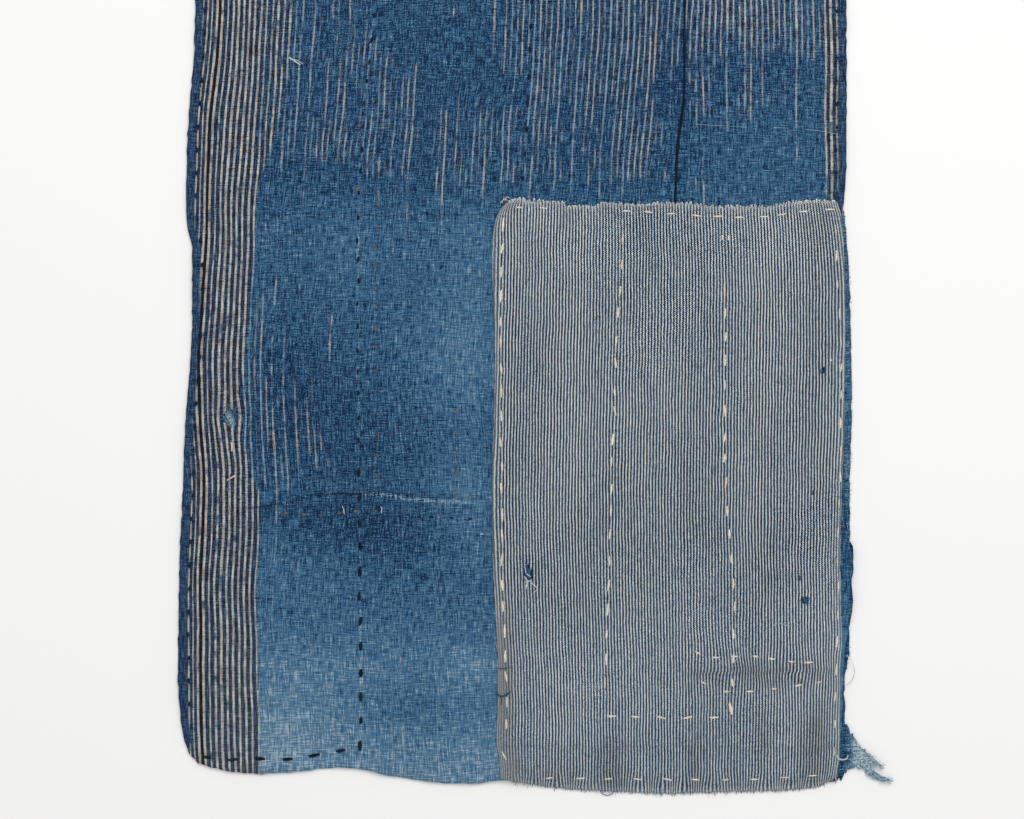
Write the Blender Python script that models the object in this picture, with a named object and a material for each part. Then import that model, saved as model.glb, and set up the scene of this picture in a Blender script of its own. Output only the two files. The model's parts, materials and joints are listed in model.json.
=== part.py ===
"""A boro patched cloth: one loom width of striped indigo cotton, hemmed round a plain blue backing,
with a large finely striped patch sewn over its lower right quarter.

The cloth lies flat on a surface. +Z is up, +Y runs along the warp towards the hemmed top edge, and
the origin is at the centre of the cloth's own box, on the surface that it lies on. Lengths are in
millimetres until they reach Blender, which works in metres.
"""

import math

import bmesh
import bpy
from mathutils import Vector

# Driving dimensions, in millimetres.
SHEET = 1.0  # thickness of each layer of cotton
LAYER_GAP = 0.4  # air between two layers
CELL = 12.0  # usual size of a cell of the sheets
HEM = 4.2  # width of the turned edge of the striped cloth
HEM_TURN = 1.0  # width over which that edge steps down to the surface
HEM_OPEN = 22.0  # how far above the patch the right edge starts to be turned under
EDGE_ROUND = 0.6  # how much lower a turned edge is at its outermost line

BACKING_TOP = SHEET
GROUND_UNDER = BACKING_TOP + LAYER_GAP
PATCH_UNDER = GROUND_UNDER + SHEET + LAYER_GAP

# Outlines, in millimetres from the centre. A side edge holds rows of (y, x) from its bottom end to
# its top end, and a bottom or top edge holds rows of (x, y) from its left end to its right end.
GROUND = {
    "left": (
        (-234.6, -174.5), (-227, -180.2), (-214, -183.3), (-188, -184.9), (-136, -184.3),
        (-97, -182.7), (-58, -181.2), (-32, -179), (-6, -177.5), (34, -177.7), (46, -180.3),
        (59, -180.8), (85, -180.2), (111, -178.6), (137, -176.5), (163, -176), (249.2, -175.5),
    ),
    "right": (
        (-241.5, 159.6), (-217, 160.8), (-176, 163.2), (-150, 166.3), (-118, 165.8),
        (-100, 162.8), (0, 161.5), (58, 162.8), (85, 163.3), (163, 163.5), (248.8, 164),
    ),
    "bottom": (
        (-174.5, -234.6), (-157, -238.1), (-142, -239.1), (-118, -237.5), (-100, -235.5),
        (-87, -237), (-71, -240.1), (-48, -244.3), (-21, -244.5), (100, -245), (159.6, -241.5),
    ),
    "top": ((-175.5, 249.2), (-110, 250), (-10, 248.6), (80, 249.6), (164, 248.8)),
}
PATCH = {
    "left": (
        (-242.6, -17.3), (-232, -18), (-224, -19.6), (-197, -18.7), (-158, -20), (-115, -21.8),
        (-95, -22), (-52, -20.7), (-20, -20.3), (27, -21.7), (42, -20.9), (49, -19.3), (57, -13.4),
    ),
    "right": (
        (-240.5, 159.6), (-229, 159.8), (-173, 161.9), (-119, 160.9), (-66, 161.7), (-33, 162.8),
        (32, 162.6), (56.8, 161.7),
    ),
    "bottom": (
        (-17.3, -242.6), (-1, -245.3), (14, -247.4), (38, -248.8), (69, -250), (100, -249.2),
        (131, -248.3), (147, -246.9), (155, -244.8), (159.6, -240.5),
    ),
    "top": (
        (-13.4, 57), (-7.8, 58.7), (5, 57), (15.5, 56.6), (22.4, 54.9), (31, 54.1), (44.7, 55.8),
        (84, 55.7), (100, 54.3), (121, 54.2), (140, 57), (150, 57.4), (161.7, 56.8),
    ),
}
BACKING = {
    "left": (
        (-227.4, -166), (-218, -174.2), (-200, -177.6), (-136, -177.6), (-58, -174.6),
        (-6, -171), (34, -171), (59, -174), (111, -171.8), (163, -169.4), (242.4, -169),
    ),
    "right": (
        (-243.6, 159), (-240.1, 160.4), (-217, 163.2), (-196, 162.6), (-175, 164.8), (-150, 163.8),
        (-97, 165.1), (-45, 166.3), (-24, 165.8), (32, 164.6), (48, 163), (64, 157), (242, 157.4),
    ),
    "bottom": (
        (-166, -227.4), (-157, -231.2), (-142, -232.4), (-118, -230.8), (-100, -228.9),
        (-87, -230.3), (-71, -233.4), (-48, -237.6), (-16, -238.4), (10, -244.8), (60, -246.6),
        (130, -246), (159, -243.6),
    ),
    "top": ((-169, 242.4), (-110, 243.2), (-10, 242), (80, 242.8), (157.4, 242)),
}

# The torn end of the backing leaves its lower right edge. Each row is a station along the tear: the
# places of its upper edge, its middle and its lower edge. From the fork on, two prongs part.
TAIL_ROOT = ((163.2, -217), (162.2, -228.6), (160.4, -240.1))
TAIL = (
    ((166.5, -220.9), (165.2, -229.8), (163.2, -237.9)),
    ((169.8, -225.6), (168.4, -231.2), (166.5, -236.3)),
    ((174.5, -229.5), (172.6, -233.8), (170.5, -237.4)),
)
UPPER_PRONG = (((177.8, -232.4), (175.6, -235.2)), ((180.4, -235.2), (179.2, -236.6)))
LOWER_PRONG = (((176.4, -237.6), (174.4, -241)), ((180.4, -241), (178, -243.6)),
               ((184.9, -242.2), (184, -244.1)))

# Soft folds, as rows of (start, end, half width, height). A negative height is a trough. Those of
# the striped cloth carry through the patch, which adds its own.
GROUND_FOLDS = (
    # swells between the left hem, the dark sewing lines and the right hem
    ((-132, 225), (-134, -210), 24, 1.2),
    ((-54, 225), (-56, -215), 20, 1.4),
    ((36, 225), (38, 86), 21, 1.3),
    ((120, 225), (122, 100), 20, 1.4),
    # the pinched seam between the last two swells
    ((79, 235), (74, 62), 6, -0.9),
    # the soft crease that slants away from that seam, above the patch
    ((128, 84), (150, 62), 7, 1.2),
    # the tuck that crosses the left half of the cloth
    ((-143, -103), (-96, -96), 8, 1.7),
    ((-96, -96), (-26, -99), 8, 1.5),
    # the left edge stands up where it bows inwards, and again above the corner
    ((-168, 34), (-166, -24), 10, 1.8),
    ((-170, -165), (-168, -212), 8, 1.2),
)
PATCH_FOLDS = (
    # swells between the lines of stitches that quilt the patch to the cloth
    ((12, 34), (10, -222), 16, 1.0),
    ((72, 34), (70, -205), 18, 1.2),
    ((130, 20), (130, -162), 16, 1.1),
    # the pleats at its upper right corner
    ((138, 52), (141, 38), 5, 0.9),
    ((151, 52), (153, 36), 5, 0.8),
    # the tuck between two short rows of stitches, and the pleats at the lower edge
    ((84, -181), (150, -184), 7, 1.5),
    ((40, -228), (44, -246), 8, 1.1),
    ((88, -228), (90, -246), 9, 1.0),
    ((143, -212), (147, -242), 8, 1.2),
)

COLOURS = {
    "striped_cotton": (0.045, 0.11, 0.2),
    "patch_cotton": (0.19, 0.22, 0.26),
    "backing_cotton": (0.06, 0.16, 0.3),
}
COTTON_ROUGHNESS = 0.9


def eased(table, at):
    """Value at a place along a table's (place, value) rows, on a smooth curve that never overshoots."""
    if at <= table[0][0]:
        return table[0][1]
    if at >= table[-1][0]:
        return table[-1][1]
    n = next(k for k in range(len(table) - 1) if at <= table[k + 1][0])

    def slope(k):
        return (table[k + 1][1] - table[k][1]) / (table[k + 1][0] - table[k][0])

    def tangent(k):
        if k == 0 or k == len(table) - 1:
            return slope(min(k, len(table) - 2))
        before, after = slope(k - 1), slope(k)
        return 0.0 if before * after <= 0 else 2 * before * after / (before + after)

    (x0, y0), (x1, y1) = table[n], table[n + 1]
    t, span = (at - x0) / (x1 - x0), x1 - x0
    return (
        y0 * (1 + 2 * t) * (1 - t) ** 2
        + tangent(n) * span * t * (1 - t) ** 2
        + y1 * t * t * (3 - 2 * t)
        - tangent(n + 1) * span * t * t * (1 - t)
    )


def spread(outline, u, v):
    """Place of the cloth's point (u, v), each from 0 to 1, inside its four uneven edges."""
    low_left, high_left = Vector(outline["bottom"][0]), Vector(outline["top"][0])
    low_right, high_right = Vector(outline["bottom"][-1]), Vector(outline["top"][-1])
    x = low_left.x + u * (low_right.x - low_left.x)
    below = Vector((x, eased(outline["bottom"], x)))
    x = high_left.x + u * (high_right.x - high_left.x)
    above = Vector((x, eased(outline["top"], x)))
    y = low_left.y + v * (high_left.y - low_left.y)
    leftmost = Vector((eased(outline["left"], y), y))
    y = low_right.y + v * (high_right.y - low_right.y)
    rightmost = Vector((eased(outline["right"], y), y))
    corners = (1 - v) * ((1 - u) * low_left + u * low_right) + v * ((1 - u) * high_left + u * high_right)
    return (1 - v) * below + v * above + (1 - u) * leftmost + u * rightmost - corners


def folded(folds, x, y):
    """How high the folds lift the cloth at (x, y)."""
    height = 0.0
    for start, end, half_width, rise in folds:
        run = Vector(end) - Vector(start)
        offset = Vector((x, y)) - Vector(start)
        along = max(0.0, min(1.0, offset.dot(run) / run.length_squared))
        height += rise * math.exp(-((offset - along * run).length / half_width) ** 2)
    return max(0.0, height)


def lines(length, edges=()):
    """Places of the lines of a sheet's grid: both ends, the given places, and the rest evenly."""
    marks = [0.0, *edges, length]
    found = []
    for low, high in zip(marks, marks[1:]):
        count = max(1, round((high - low) / CELL))
        found += [low + (high - low) * k / count for k in range(count)]
    return [*found, length]


def flat_grid(outline, across, along, turned=lambda a, b: False):
    """A grid of faces inside an outline, with its lines at the given places across and along it.
    Its hem layer marks the vertices where turned says that the edge is turned under."""
    bm = bmesh.new()
    hem = bm.verts.layers.int.new("hem")
    columns, rows = len(across) - 1, len(along) - 1
    bmesh.ops.create_grid(bm, x_segments=columns, y_segments=rows, size=0.5)
    for vertex in bm.verts:
        a = across[round((vertex.co.x + 0.5) * columns)]
        b = along[round((vertex.co.y + 0.5) * rows)]
        vertex[hem] = turned(a, b)
        vertex.co.xy = spread(outline, a / across[-1], b / along[-1])
    return bm


def corner_at(bm, place):
    """The vertex of a flat sheet that is nearest to a place."""
    return min(bm.verts, key=lambda vertex: (vertex.co.xy - Vector(place)).length)


def tear_strip(bm, roots, stations):
    """Extends a flat sheet from a row of its edge vertices through each station in turn."""
    row = roots
    for station in stations:
        edges = [bm.edges.get(pair) for pair in zip(row, row[1:])]
        made = bmesh.ops.extrude_edge_only(bm, edges=edges)["geom"]
        fresh = [item for item in made if isinstance(item, bmesh.types.BMVert)]
        previous, row = row, []
        for old in previous:
            # An extruded vertex starts where its own root is.
            vertex = min(fresh, key=lambda new: (new.co - old.co).length)
            fresh.remove(vertex)
            row.append(vertex)
        for vertex, place in zip(row, station):
            vertex.co.xy = place
    return row


def thickened(name, bm, lift, material):
    """Closes a flat sheet into a solid whose underside is lifted to a height that depends on x and y.
    A hem reaches down to the surface, and its outermost line is rounded off."""
    hem = bm.verts.layers.int["hem"]
    rim = {vertex for edge in bm.edges if edge.is_boundary for vertex in edge.verts}
    upper = {v: SHEET - (EDGE_ROUND if v[hem] and v in rim else 0.0) + lift(*v.co.xy) for v in bm.verts}
    made = bmesh.ops.extrude_face_region(bm, geom=list(bm.faces))["geom"]
    lower = {item for item in made if isinstance(item, bmesh.types.BMVert)}
    for vertex in bm.verts:
        if vertex not in lower:
            vertex.co.z = upper[vertex]
        elif vertex[hem]:
            vertex.co.z = 0.0
        else:
            vertex.co.z = lift(*vertex.co.xy)
    bmesh.ops.scale(bm, vec=(0.001, 0.001, 0.001), verts=list(bm.verts))
    bmesh.ops.recalc_face_normals(bm, faces=list(bm.faces))
    mesh = bpy.data.meshes.new(name)
    bm.to_mesh(mesh)
    bm.free()
    mesh.materials.append(material)
    mesh.shade_smooth()
    mesh.set_sharp_from_angle(angle=math.radians(40))
    cloth = bpy.data.objects.new(name, mesh)
    bpy.context.scene.collection.objects.link(cloth)
    return cloth


def cotton(name):
    material = bpy.data.materials.new(name)
    material.use_nodes = True
    shader = material.node_tree.nodes["Principled BSDF"]
    shader.inputs["Base Color"].default_value = (*COLOURS[name], 1)
    shader.inputs["Roughness"].default_value = COTTON_ROUGHNESS
    return material


def width_of(outline):
    return outline["bottom"][-1][0] - outline["bottom"][0][0]


def length_of(outline):
    return outline["left"][-1][0] - outline["left"][0][0]


def backing_cloth():
    """The plain backing, flat on the surface, with its torn end at the lower right."""
    roots_along = [TAIL_ROOT[k][1] - BACKING["right"][0][0] for k in (2, 1, 0)]
    length = length_of(BACKING)
    share = length / (BACKING["right"][-1][0] - BACKING["right"][0][0])
    bm = flat_grid(BACKING, lines(width_of(BACKING)), lines(length, [y * share for y in roots_along]))
    roots = [corner_at(bm, place) for place in TAIL_ROOT]
    upper, middle, lower = tear_strip(bm, roots, TAIL)
    tear_strip(bm, [upper, middle], UPPER_PRONG)
    tear_strip(bm, [middle, lower], LOWER_PRONG)
    return thickened("backing_cloth", bm, lambda x, y: 0.0, cotton("backing_cotton"))


def ground_cloth():
    """The striped cloth, which lies on the backing. It is turned under at the left, at the top, at
    the left part of the bottom, and at the right edge above the patch."""
    width, length = width_of(GROUND), length_of(GROUND)
    open_bottom = PATCH["bottom"][0][0] - GROUND["bottom"][0][0] - HEM
    open_side = PATCH["top"][-1][1] - GROUND["right"][0][0] + HEM_OPEN

    def turned(a, b):
        left, top = a <= HEM, b >= length - HEM
        return left or top or (b <= HEM and a < open_bottom) or (a >= width - HEM and b > open_side)

    across = lines(width, [HEM, HEM + HEM_TURN, width - HEM - HEM_TURN, width - HEM])
    along = lines(length, [HEM, HEM + HEM_TURN, length - HEM - HEM_TURN, length - HEM])
    bm = flat_grid(GROUND, across, along, turned)
    return thickened(
        "ground_cloth", bm, lambda x, y: GROUND_UNDER + folded(GROUND_FOLDS, x, y), cotton("striped_cotton")
    )


def large_patch():
    """The finely striped patch, which lies on the striped cloth."""

    def lift(x, y):
        return PATCH_UNDER + folded(GROUND_FOLDS, x, y) + folded(PATCH_FOLDS, x, y)

    bm = flat_grid(PATCH, lines(width_of(PATCH)), lines(length_of(PATCH)))
    return thickened("large_patch", bm, lift, cotton("patch_cotton"))


for leftover in list(bpy.data.objects):
    bpy.data.objects.remove(leftover, do_unlink=True)
backing_cloth()
ground_cloth()
large_patch()
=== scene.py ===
# %% [markdown]
# # A boro patched cloth
# Boro is cloth that was mended for generations: a striped indigo loom width, worn almost plain in its
# middle, lies on a plain backing, and a finely striped patch covers the worst quarter. Rows of running
# stitches hold the layers together. This lesson builds each layer as a thin sheet with its own folds,
# sews the stitches as real thread, and gives each cotton a woven, washed and worn finish.

# %% The frame
import json
import math

import bpy
import numpy as np
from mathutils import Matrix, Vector

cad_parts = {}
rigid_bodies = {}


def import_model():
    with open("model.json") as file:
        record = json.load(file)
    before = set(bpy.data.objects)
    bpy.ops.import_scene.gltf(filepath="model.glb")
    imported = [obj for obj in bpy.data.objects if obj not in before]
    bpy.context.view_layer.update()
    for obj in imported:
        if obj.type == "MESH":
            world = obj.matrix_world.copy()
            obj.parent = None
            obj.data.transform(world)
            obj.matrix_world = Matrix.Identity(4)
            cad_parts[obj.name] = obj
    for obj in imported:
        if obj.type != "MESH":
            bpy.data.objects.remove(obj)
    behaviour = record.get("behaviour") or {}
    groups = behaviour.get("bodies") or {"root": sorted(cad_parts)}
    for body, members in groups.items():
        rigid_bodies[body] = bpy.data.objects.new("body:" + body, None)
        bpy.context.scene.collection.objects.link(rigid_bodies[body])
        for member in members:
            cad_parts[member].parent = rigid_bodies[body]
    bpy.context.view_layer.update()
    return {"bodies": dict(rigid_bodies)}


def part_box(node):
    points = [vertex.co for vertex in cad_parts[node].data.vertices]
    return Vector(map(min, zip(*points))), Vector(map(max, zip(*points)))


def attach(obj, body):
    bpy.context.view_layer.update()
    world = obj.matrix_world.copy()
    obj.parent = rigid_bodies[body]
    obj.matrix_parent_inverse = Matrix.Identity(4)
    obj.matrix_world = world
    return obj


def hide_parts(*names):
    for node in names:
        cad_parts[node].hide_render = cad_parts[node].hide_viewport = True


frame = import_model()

MM = 0.001
BODY = next(iter(frame["bodies"]))

# %% [markdown]
# ## Camera, light and floor
# The cloth is seen square on from above, as a textile is catalogued. A long lens a little over a metre
# away keeps its edges straight. One broad soft light, beyond the cloth's top edge, is enough to show
# folds and stitches, and a pale world fills the rest. The floor is a plain pale sheet.

# %% Camera, light and floor
LENS, SENSOR = 85.0, 36.0  # millimetres
VIEW_WIDTH = 532.5 * MM
VIEW_CENTRE = Vector((-11.4, -50.7, 0)) * MM
LIGHT_PLACE, LIGHT_WIDTH, LIGHT_POWER = (0.3, 1.0, 1.5), 1.2, 15.7
ROOM_COLOUR, ROOM_LIGHT = (0.985, 0.985, 0.985, 1), 0.745
FLOOR_COLOUR, FLOOR_GRAIN = (0.885, 0.88, 0.875, 1), (0.8, 0.8, 0.8, 1)
FLOOR_WIDTH, FLOOR_DROP = 6, 0.2 * MM  # the drop keeps the floor just under the cloth

scene = bpy.context.scene
scene.view_settings.view_transform = "Standard"
scene.view_settings.look = "None"

camera_data = bpy.data.cameras.new("camera")
camera_data.lens, camera_data.sensor_width = LENS, SENSOR
camera = bpy.data.objects.new("camera", camera_data)
camera.location = VIEW_CENTRE + Vector((0, 0, VIEW_WIDTH * LENS / SENSOR))
scene.collection.objects.link(camera)
scene.camera = camera

light_data = bpy.data.lights.new("soft_light", "AREA")
light_data.shape, light_data.size = "DISK", LIGHT_WIDTH
light_data.energy = LIGHT_POWER
light = bpy.data.objects.new("soft_light", light_data)
light.location = LIGHT_PLACE
light.rotation_euler = (-light.location).to_track_quat("-Z", "Y").to_euler()
scene.collection.objects.link(light)

world = bpy.data.worlds.new("pale_room")
world.use_nodes = True
background = world.node_tree.nodes["Background"]
background.inputs["Color"].default_value = ROOM_COLOUR
background.inputs["Strength"].default_value = ROOM_LIGHT
scene.world = world

bpy.ops.object.select_all(action="DESELECT")
bpy.ops.mesh.primitive_plane_add(size=FLOOR_WIDTH, location=(0, 0, -FLOOR_DROP))
floor = bpy.context.object
floor.name = "floor"
print("camera", round(camera.location.z, 3), "m above the cloth")

# %% [markdown]
# ## A small language for finishes
# A finish is arithmetic on patterns. This class wraps one output socket of a node, so that an ordinary
# Python expression adds the Math nodes that work it out, and `Finish.node` adds any other node.

# %% Shader arithmetic
class Value:
    """One socket of a finish. Arithmetic on it adds Math nodes, and its methods name other functions."""

    def __init__(self, finish, socket):
        self.finish, self.socket = finish, socket

    def math(self, operation, *others):
        return self.finish.node("ShaderNodeMath", {"operation": operation}, self, *others)

    def __add__(self, other):
        return self.math("ADD", other)

    def __sub__(self, other):
        return self.math("SUBTRACT", other)

    def __mul__(self, other):
        return self.math("MULTIPLY", other)

    def __rsub__(self, other):
        return self.finish.node("ShaderNodeMath", {"operation": "SUBTRACT"}, other, self)

    __radd__ = __add__

    def abs(self):
        return self.math("ABSOLUTE")

    def floor(self):
        return self.math("FLOOR")

    def wave(self):
        """The sine of this value in turns."""
        return (self * math.tau).math("SINE")

    def above(self, low, high):
        """0 below low, 1 above high, and smooth between them. With low the larger, the reverse."""
        if isinstance(low, (int, float)) and isinstance(high, (int, float)) and low > high:
            return 1 - self.above(high, low)
        settings = {"interpolation_type": "SMOOTHSTEP"}
        return self.finish.node("ShaderNodeMapRange", settings, self, low, high)


print("a value offers", ", ".join(name for name in vars(Value) if not name.startswith("_")))

# %% [markdown]
# ## A finish as a class
# Each cotton and thread needs a material with dozens of nodes. They could be wired one call at a time, but
# then the pattern is hard to see. Here `node` adds one node with its settings and inputs, the other methods
# name the nodes used most, and every finish starts from the same matt shader.

# %% Finishes
class Finish:
    """A material whose nodes are added by expressions."""

    def __init__(self, name, roughness=0.9):
        self.material = bpy.data.materials.new(name)
        self.material.use_nodes = True
        self.tree = self.material.node_tree
        self.shader = self.tree.nodes["Principled BSDF"]
        self.shader.inputs["Roughness"].default_value = roughness
        self.shader.inputs["Specular IOR Level"].default_value = 0.06

    def node(self, kind, settings, *values, out=0, **named):
        """Adds a node, sets it up, gives its inputs their values or links, and returns an output."""
        node = self.tree.nodes.new(kind)
        for key, setting in settings.items():
            if key == "stops":
                self.set_ramp(node.color_ramp, setting)
            else:
                setattr(node, key, setting)
        for key, value in [*enumerate(values), *named.items()]:
            socket = node.inputs[key.replace("_", " ") if isinstance(key, str) else key]
            if isinstance(value, Value):
                self.tree.links.new(value.socket, socket)
            elif value is not None:
                socket.default_value = value
        return Value(self, node.outputs[out])

    @staticmethod
    def set_ramp(ramp, stops):
        while len(ramp.elements) < len(stops):
            ramp.elements.new(1)
        for element, (place, colour) in zip(ramp.elements, stops):
            element.position, element.color = place, colour

    def ramp(self, value, stops):
        return self.node("ShaderNodeValToRGB", {"stops": stops}, value)

    def mix(self, share, first, second, blend="MIX"):
        """A mix of two colours, which are the node's sockets 6 and 7."""
        settings, unused = {"data_type": "RGBA", "blend_type": blend}, [None] * 5
        return self.node("ShaderNodeMix", settings, share, *unused, first, second, out=2)

    def join(self, x, y, z=0.0):
        return self.node("ShaderNodeCombineXYZ", {}, x, y, z)

    def noise(self, vector, scale=1.0, detail=2.0, rough=0.5):
        return self.node(
            "ShaderNodeTexNoise", {}, Vector=vector, Scale=scale, Detail=detail, Roughness=rough
        )

    def chance(self, value):
        """A number from 0 to 1 that looks random, the same for each equal value."""
        return self.node("ShaderNodeTexWhiteNoise", {"noise_dimensions": "1D"}, W=value)

    def attribute(self, name):
        return self.node("ShaderNodeAttribute", {"attribute_name": name}, out=2)

    def threads(self):
        """Where a point is on the flat cloth: across its warp, and along it in millimetres."""
        place = self.node("ShaderNodeUVMap", {"uv_map": "threads"})
        parts = self.node("ShaderNodeSeparateXYZ", {}, place).socket.node.outputs
        return Value(self, parts[0]), Value(self, parts[1])

    def set(self, **links):
        for name, value in links.items():
            self.tree.links.new(value.socket, self.shader.inputs[name.replace("_", " ")])

    def bump(self, height, strength, distance):
        self.set(Normal=self.node(
            "ShaderNodeBump", {}, Height=height, Strength=strength, Distance=distance
        ))

# %% [markdown]
# ## The floor
# Colours are easiest to judge on the usual scale of 0 to 255, so a short function turns them into the
# linear light that a shader works in. The floor shows the smallest finish: one faint noise on a pale sheet.

# %% The finish of the floor
def srgb(red, green, blue):
    """A colour as a dyer would read it from a chart of 0 to 255, in the shader's linear light."""
    def linear(level):
        level /= 255
        return level / 12.92 if level <= 0.04045 else ((level + 0.055) / 1.055) ** 2.4
    return (linear(red), linear(green), linear(blue), 1.0)


paper = Finish("floor_paper", roughness=0.95)
grain = paper.noise(paper.node("ShaderNodeTexCoord", {}, out=3), scale=3.0)
paper.set(Base_Color=paper.mix(grain * 0.02, FLOOR_COLOUR, FLOOR_GRAIN))
floor.data.materials.append(paper.material)
print("the floor's finish has", len(paper.tree.nodes), "nodes")

# %% [markdown]
# ## The shape of each layer
# Hand-woven cloth that has been washed and sewn for years has no straight edge. Each edge is a short
# table of places with a smooth curve through them, and a point of the flat cloth is spread between its
# four edges. Numpy works on all of a sheet's points at once.

# %% Smooth curves and outlines, in millimetres
def smooth(rows):
    """A smooth curve through rows of (place, value), which never overshoots them."""
    at, value = np.array(rows, float).T
    step = np.diff(at)
    slope = np.diff(value) / step
    before, after = slope[:-1], slope[1:]
    turning = before * after <= 0
    inner = np.where(turning, 0, 2 * before * after / np.where(turning, 1, before + after))
    tangent = np.concatenate((slope[:1], inner, slope[-1:]))

    def curve(place):
        place = np.clip(place, at[0], at[-1])
        n = np.clip(np.searchsorted(at, place, side="right") - 1, 0, len(step) - 1)
        t = (place - at[n]) / step[n]
        return (
            value[n] * (1 + 2 * t) * (1 - t) ** 2
            + tangent[n] * step[n] * t * (1 - t) ** 2
            + value[n + 1] * t * t * (3 - 2 * t)
            - tangent[n + 1] * step[n] * t * t * (1 - t)
        )

    return curve


class Outline:
    """A cloth's four edges. Side edges are rows of (y, x), bottom and top edges rows of (x, y)."""

    def __init__(self, left, right, bottom, top):
        self.left, self.right, self.bottom, self.top = map(smooth, (left, right, bottom, top))
        self.corners = [np.array(rows[k], float) for rows in (bottom, top) for k in (0, -1)]
        self.width = bottom[-1][0] - bottom[0][0]
        self.length = left[-1][0] - left[0][0]

    def spread(self, u, v):
        """The places of points (u, v), each from 0 to 1, inside the four edges."""
        low_left, low_right, high_left, high_right = (c[:, None] for c in self.corners)
        x_low = low_left[0] + u * (low_right[0] - low_left[0])
        x_high = high_left[0] + u * (high_right[0] - high_left[0])
        y_left = low_left[1] + v * (high_left[1] - low_left[1])
        y_right = low_right[1] + v * (high_right[1] - low_right[1])
        bottom, top = np.array((x_low, self.bottom(x_low))), np.array((x_high, self.top(x_high)))
        left, right = np.array((self.left(y_left), y_left)), np.array((self.right(y_right), y_right))
        edges = (1 - v) * bottom + v * top
        edges += (1 - u) * left + u * right
        low = (1 - u) * low_left + u * low_right
        high = (1 - u) * high_left + u * high_right
        return edges - (1 - v) * low - v * high


print("half way between 0 and 10 a rising curve is at", smooth(((0, 0), (1, 10)))(0.5))

# %% [markdown]
# ## The three outlines
# The left hem bows where the rows pull it, the lower edge waves and the patch's corners are drawn in, so
# the tables have a point wherever an edge turns and none between. The backing follows the striped cloth,
# set in by its hems, except at the right edge where it shows.

# %% Outlines of the striped cloth, the patch and the backing
GROUND = Outline(
    left=(
        (-234.6, -174.5), (-227, -180.2), (-214, -183.3), (-188, -184.9), (-136, -184.3),
        (-97, -182.7), (-58, -181.2), (-32, -179), (-6, -177.5), (34, -177.7), (46, -180.3),
        (59, -180.8), (85, -180.2), (111, -178.6), (137, -176.5), (163, -176), (249.2, -175.5),
    ),
    right=(
        (-241.5, 157.5), (-217, 159.5), (-176, 161.5), (-160, 164.6), (-150, 165.9), (-142, 164.8),
        (-134, 165.9), (-123, 165.7), (-117, 163.4), (-100, 161.5), (45, 160), (58, 161), (75, 162.4),
        (126, 162.4), (248.8, 163),
    ),
    bottom=(
        (-174.5, -234.6), (-157, -238.9), (-142, -240), (-118, -238.4), (-103, -236.7),
        (-97, -236.9), (-89, -237.7), (-77, -240.7), (-65, -242.5), (-48, -244.7), (-32, -245.2),
        (-20, -243.6), (0, -243.4), (100, -244.4), (157.5, -241.5),
    ),
    top=((-175.5, 249.2), (-110, 250), (-10, 248.6), (80, 249.6), (163, 248.8)),
)
PATCH = Outline(
    left=(
        (-242.6, -17.3), (-232, -18), (-224, -19.6), (-197, -18.7), (-158, -20), (-115, -21.8),
        (-95, -22), (-52, -20.7), (-20, -20.3), (27, -21.7), (42, -20.9), (49, -19.3),
        (53.5, -17.2), (57, -13.4),
    ),
    right=(
        (-241.5, 157), (-229, 158.6), (-187, 158.9), (-171, 159.8), (-155, 159.3), (-129, 159),
        (-108, 159.3), (-87, 160), (-73, 160.7), (-46, 161.3), (-6, 161.7), (15, 161.4), (34, 160.7),
        (50, 159.3), (56.8, 157.4),
    ),
    bottom=(
        (-17.3, -242.6), (-1, -245.3), (14, -247.4), (38, -248.8), (69, -250), (100, -249.2),
        (131, -248.3), (147, -246.6), (157, -241.5),
    ),
    top=(
        (-13.4, 57), (-7.8, 58.7), (-3.5, 57.1), (5, 57), (15.5, 56.6), (17.5, 54.4), (22.4, 54.9),
        (31, 54.1), (35.3, 56.4), (44.7, 55.8), (55, 55.2), (62, 56), (84, 55.7), (91, 54.3),
        (121, 54.2), (128, 55.7), (140, 57), (150, 57.4), (157.4, 56.8),
    ),
)
BACKING = Outline(
    left=(
        (-227.4, -166), (-218, -174.2), (-200, -177.6), (-136, -177.6), (-58, -174.6),
        (-6, -171), (34, -171), (59, -174), (111, -171.8), (163, -169.4), (242.4, -169),
    ),
    right=(
        (-243.6, 157.5), (-240.1, 158.8), (-219, 161.8), (-200, 161.3), (-192, 161.4), (-186, 162.2),
        (-176, 164), (-150, 163.6), (-108, 164.2), (-87, 164.3), (-63, 165), (-41, 165.2), (-6, 164.5),
        (11, 164.2), (29, 163.3), (39, 162.3), (50, 161.6), (64, 157), (242, 157.4),
    ),
    bottom=(
        (-166, -227.4), (-157, -231.2), (-142, -232.4), (-118, -230.8), (-100, -228.9),
        (-87, -230.3), (-71, -233.4), (-48, -237.6), (-16, -238.4), (10, -244.8), (60, -246.6),
        (130, -246), (157.5, -243.6),
    ),
    top=((-169, 242.4), (-110, 243.2), (-10, 242), (80, 242.8), (157.4, 242)),
)
for node, outline in (("ground_cloth", GROUND), ("large_patch", PATCH), ("backing_cloth", BACKING)):
    low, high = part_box(node)
    box = [round(float(b - a) / MM, 1) for a, b in zip(low, high)]
    print(node, "is", round(outline.width), "by", round(outline.length), "mm in its box of", box)

# %% [markdown]
# ## Rows of stitches
# The rows decide the folds as much as the thread does, because the cloth puckers along them, so they
# are laid out first. Each row is a path with the pitch of its stitches, the length and width of one,
# and how unevenly a hand placed them. Dark indigo thread quilts the old cloth, brown thread mends it,
# and thick cream thread sews the patch on.

# %% Stitch rows, in millimetres
HEM_ROW = 5.2  # how far a hem's stitches are from its edge
HEM_PITCH = 12.0


def beside(edge, inset, start, end):
    """A path that keeps a distance from a side edge, with a point for each stitch."""
    return [(float(edge(y)) + inset, y) for y in np.arange(start, end, -HEM_PITCH)]


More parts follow.
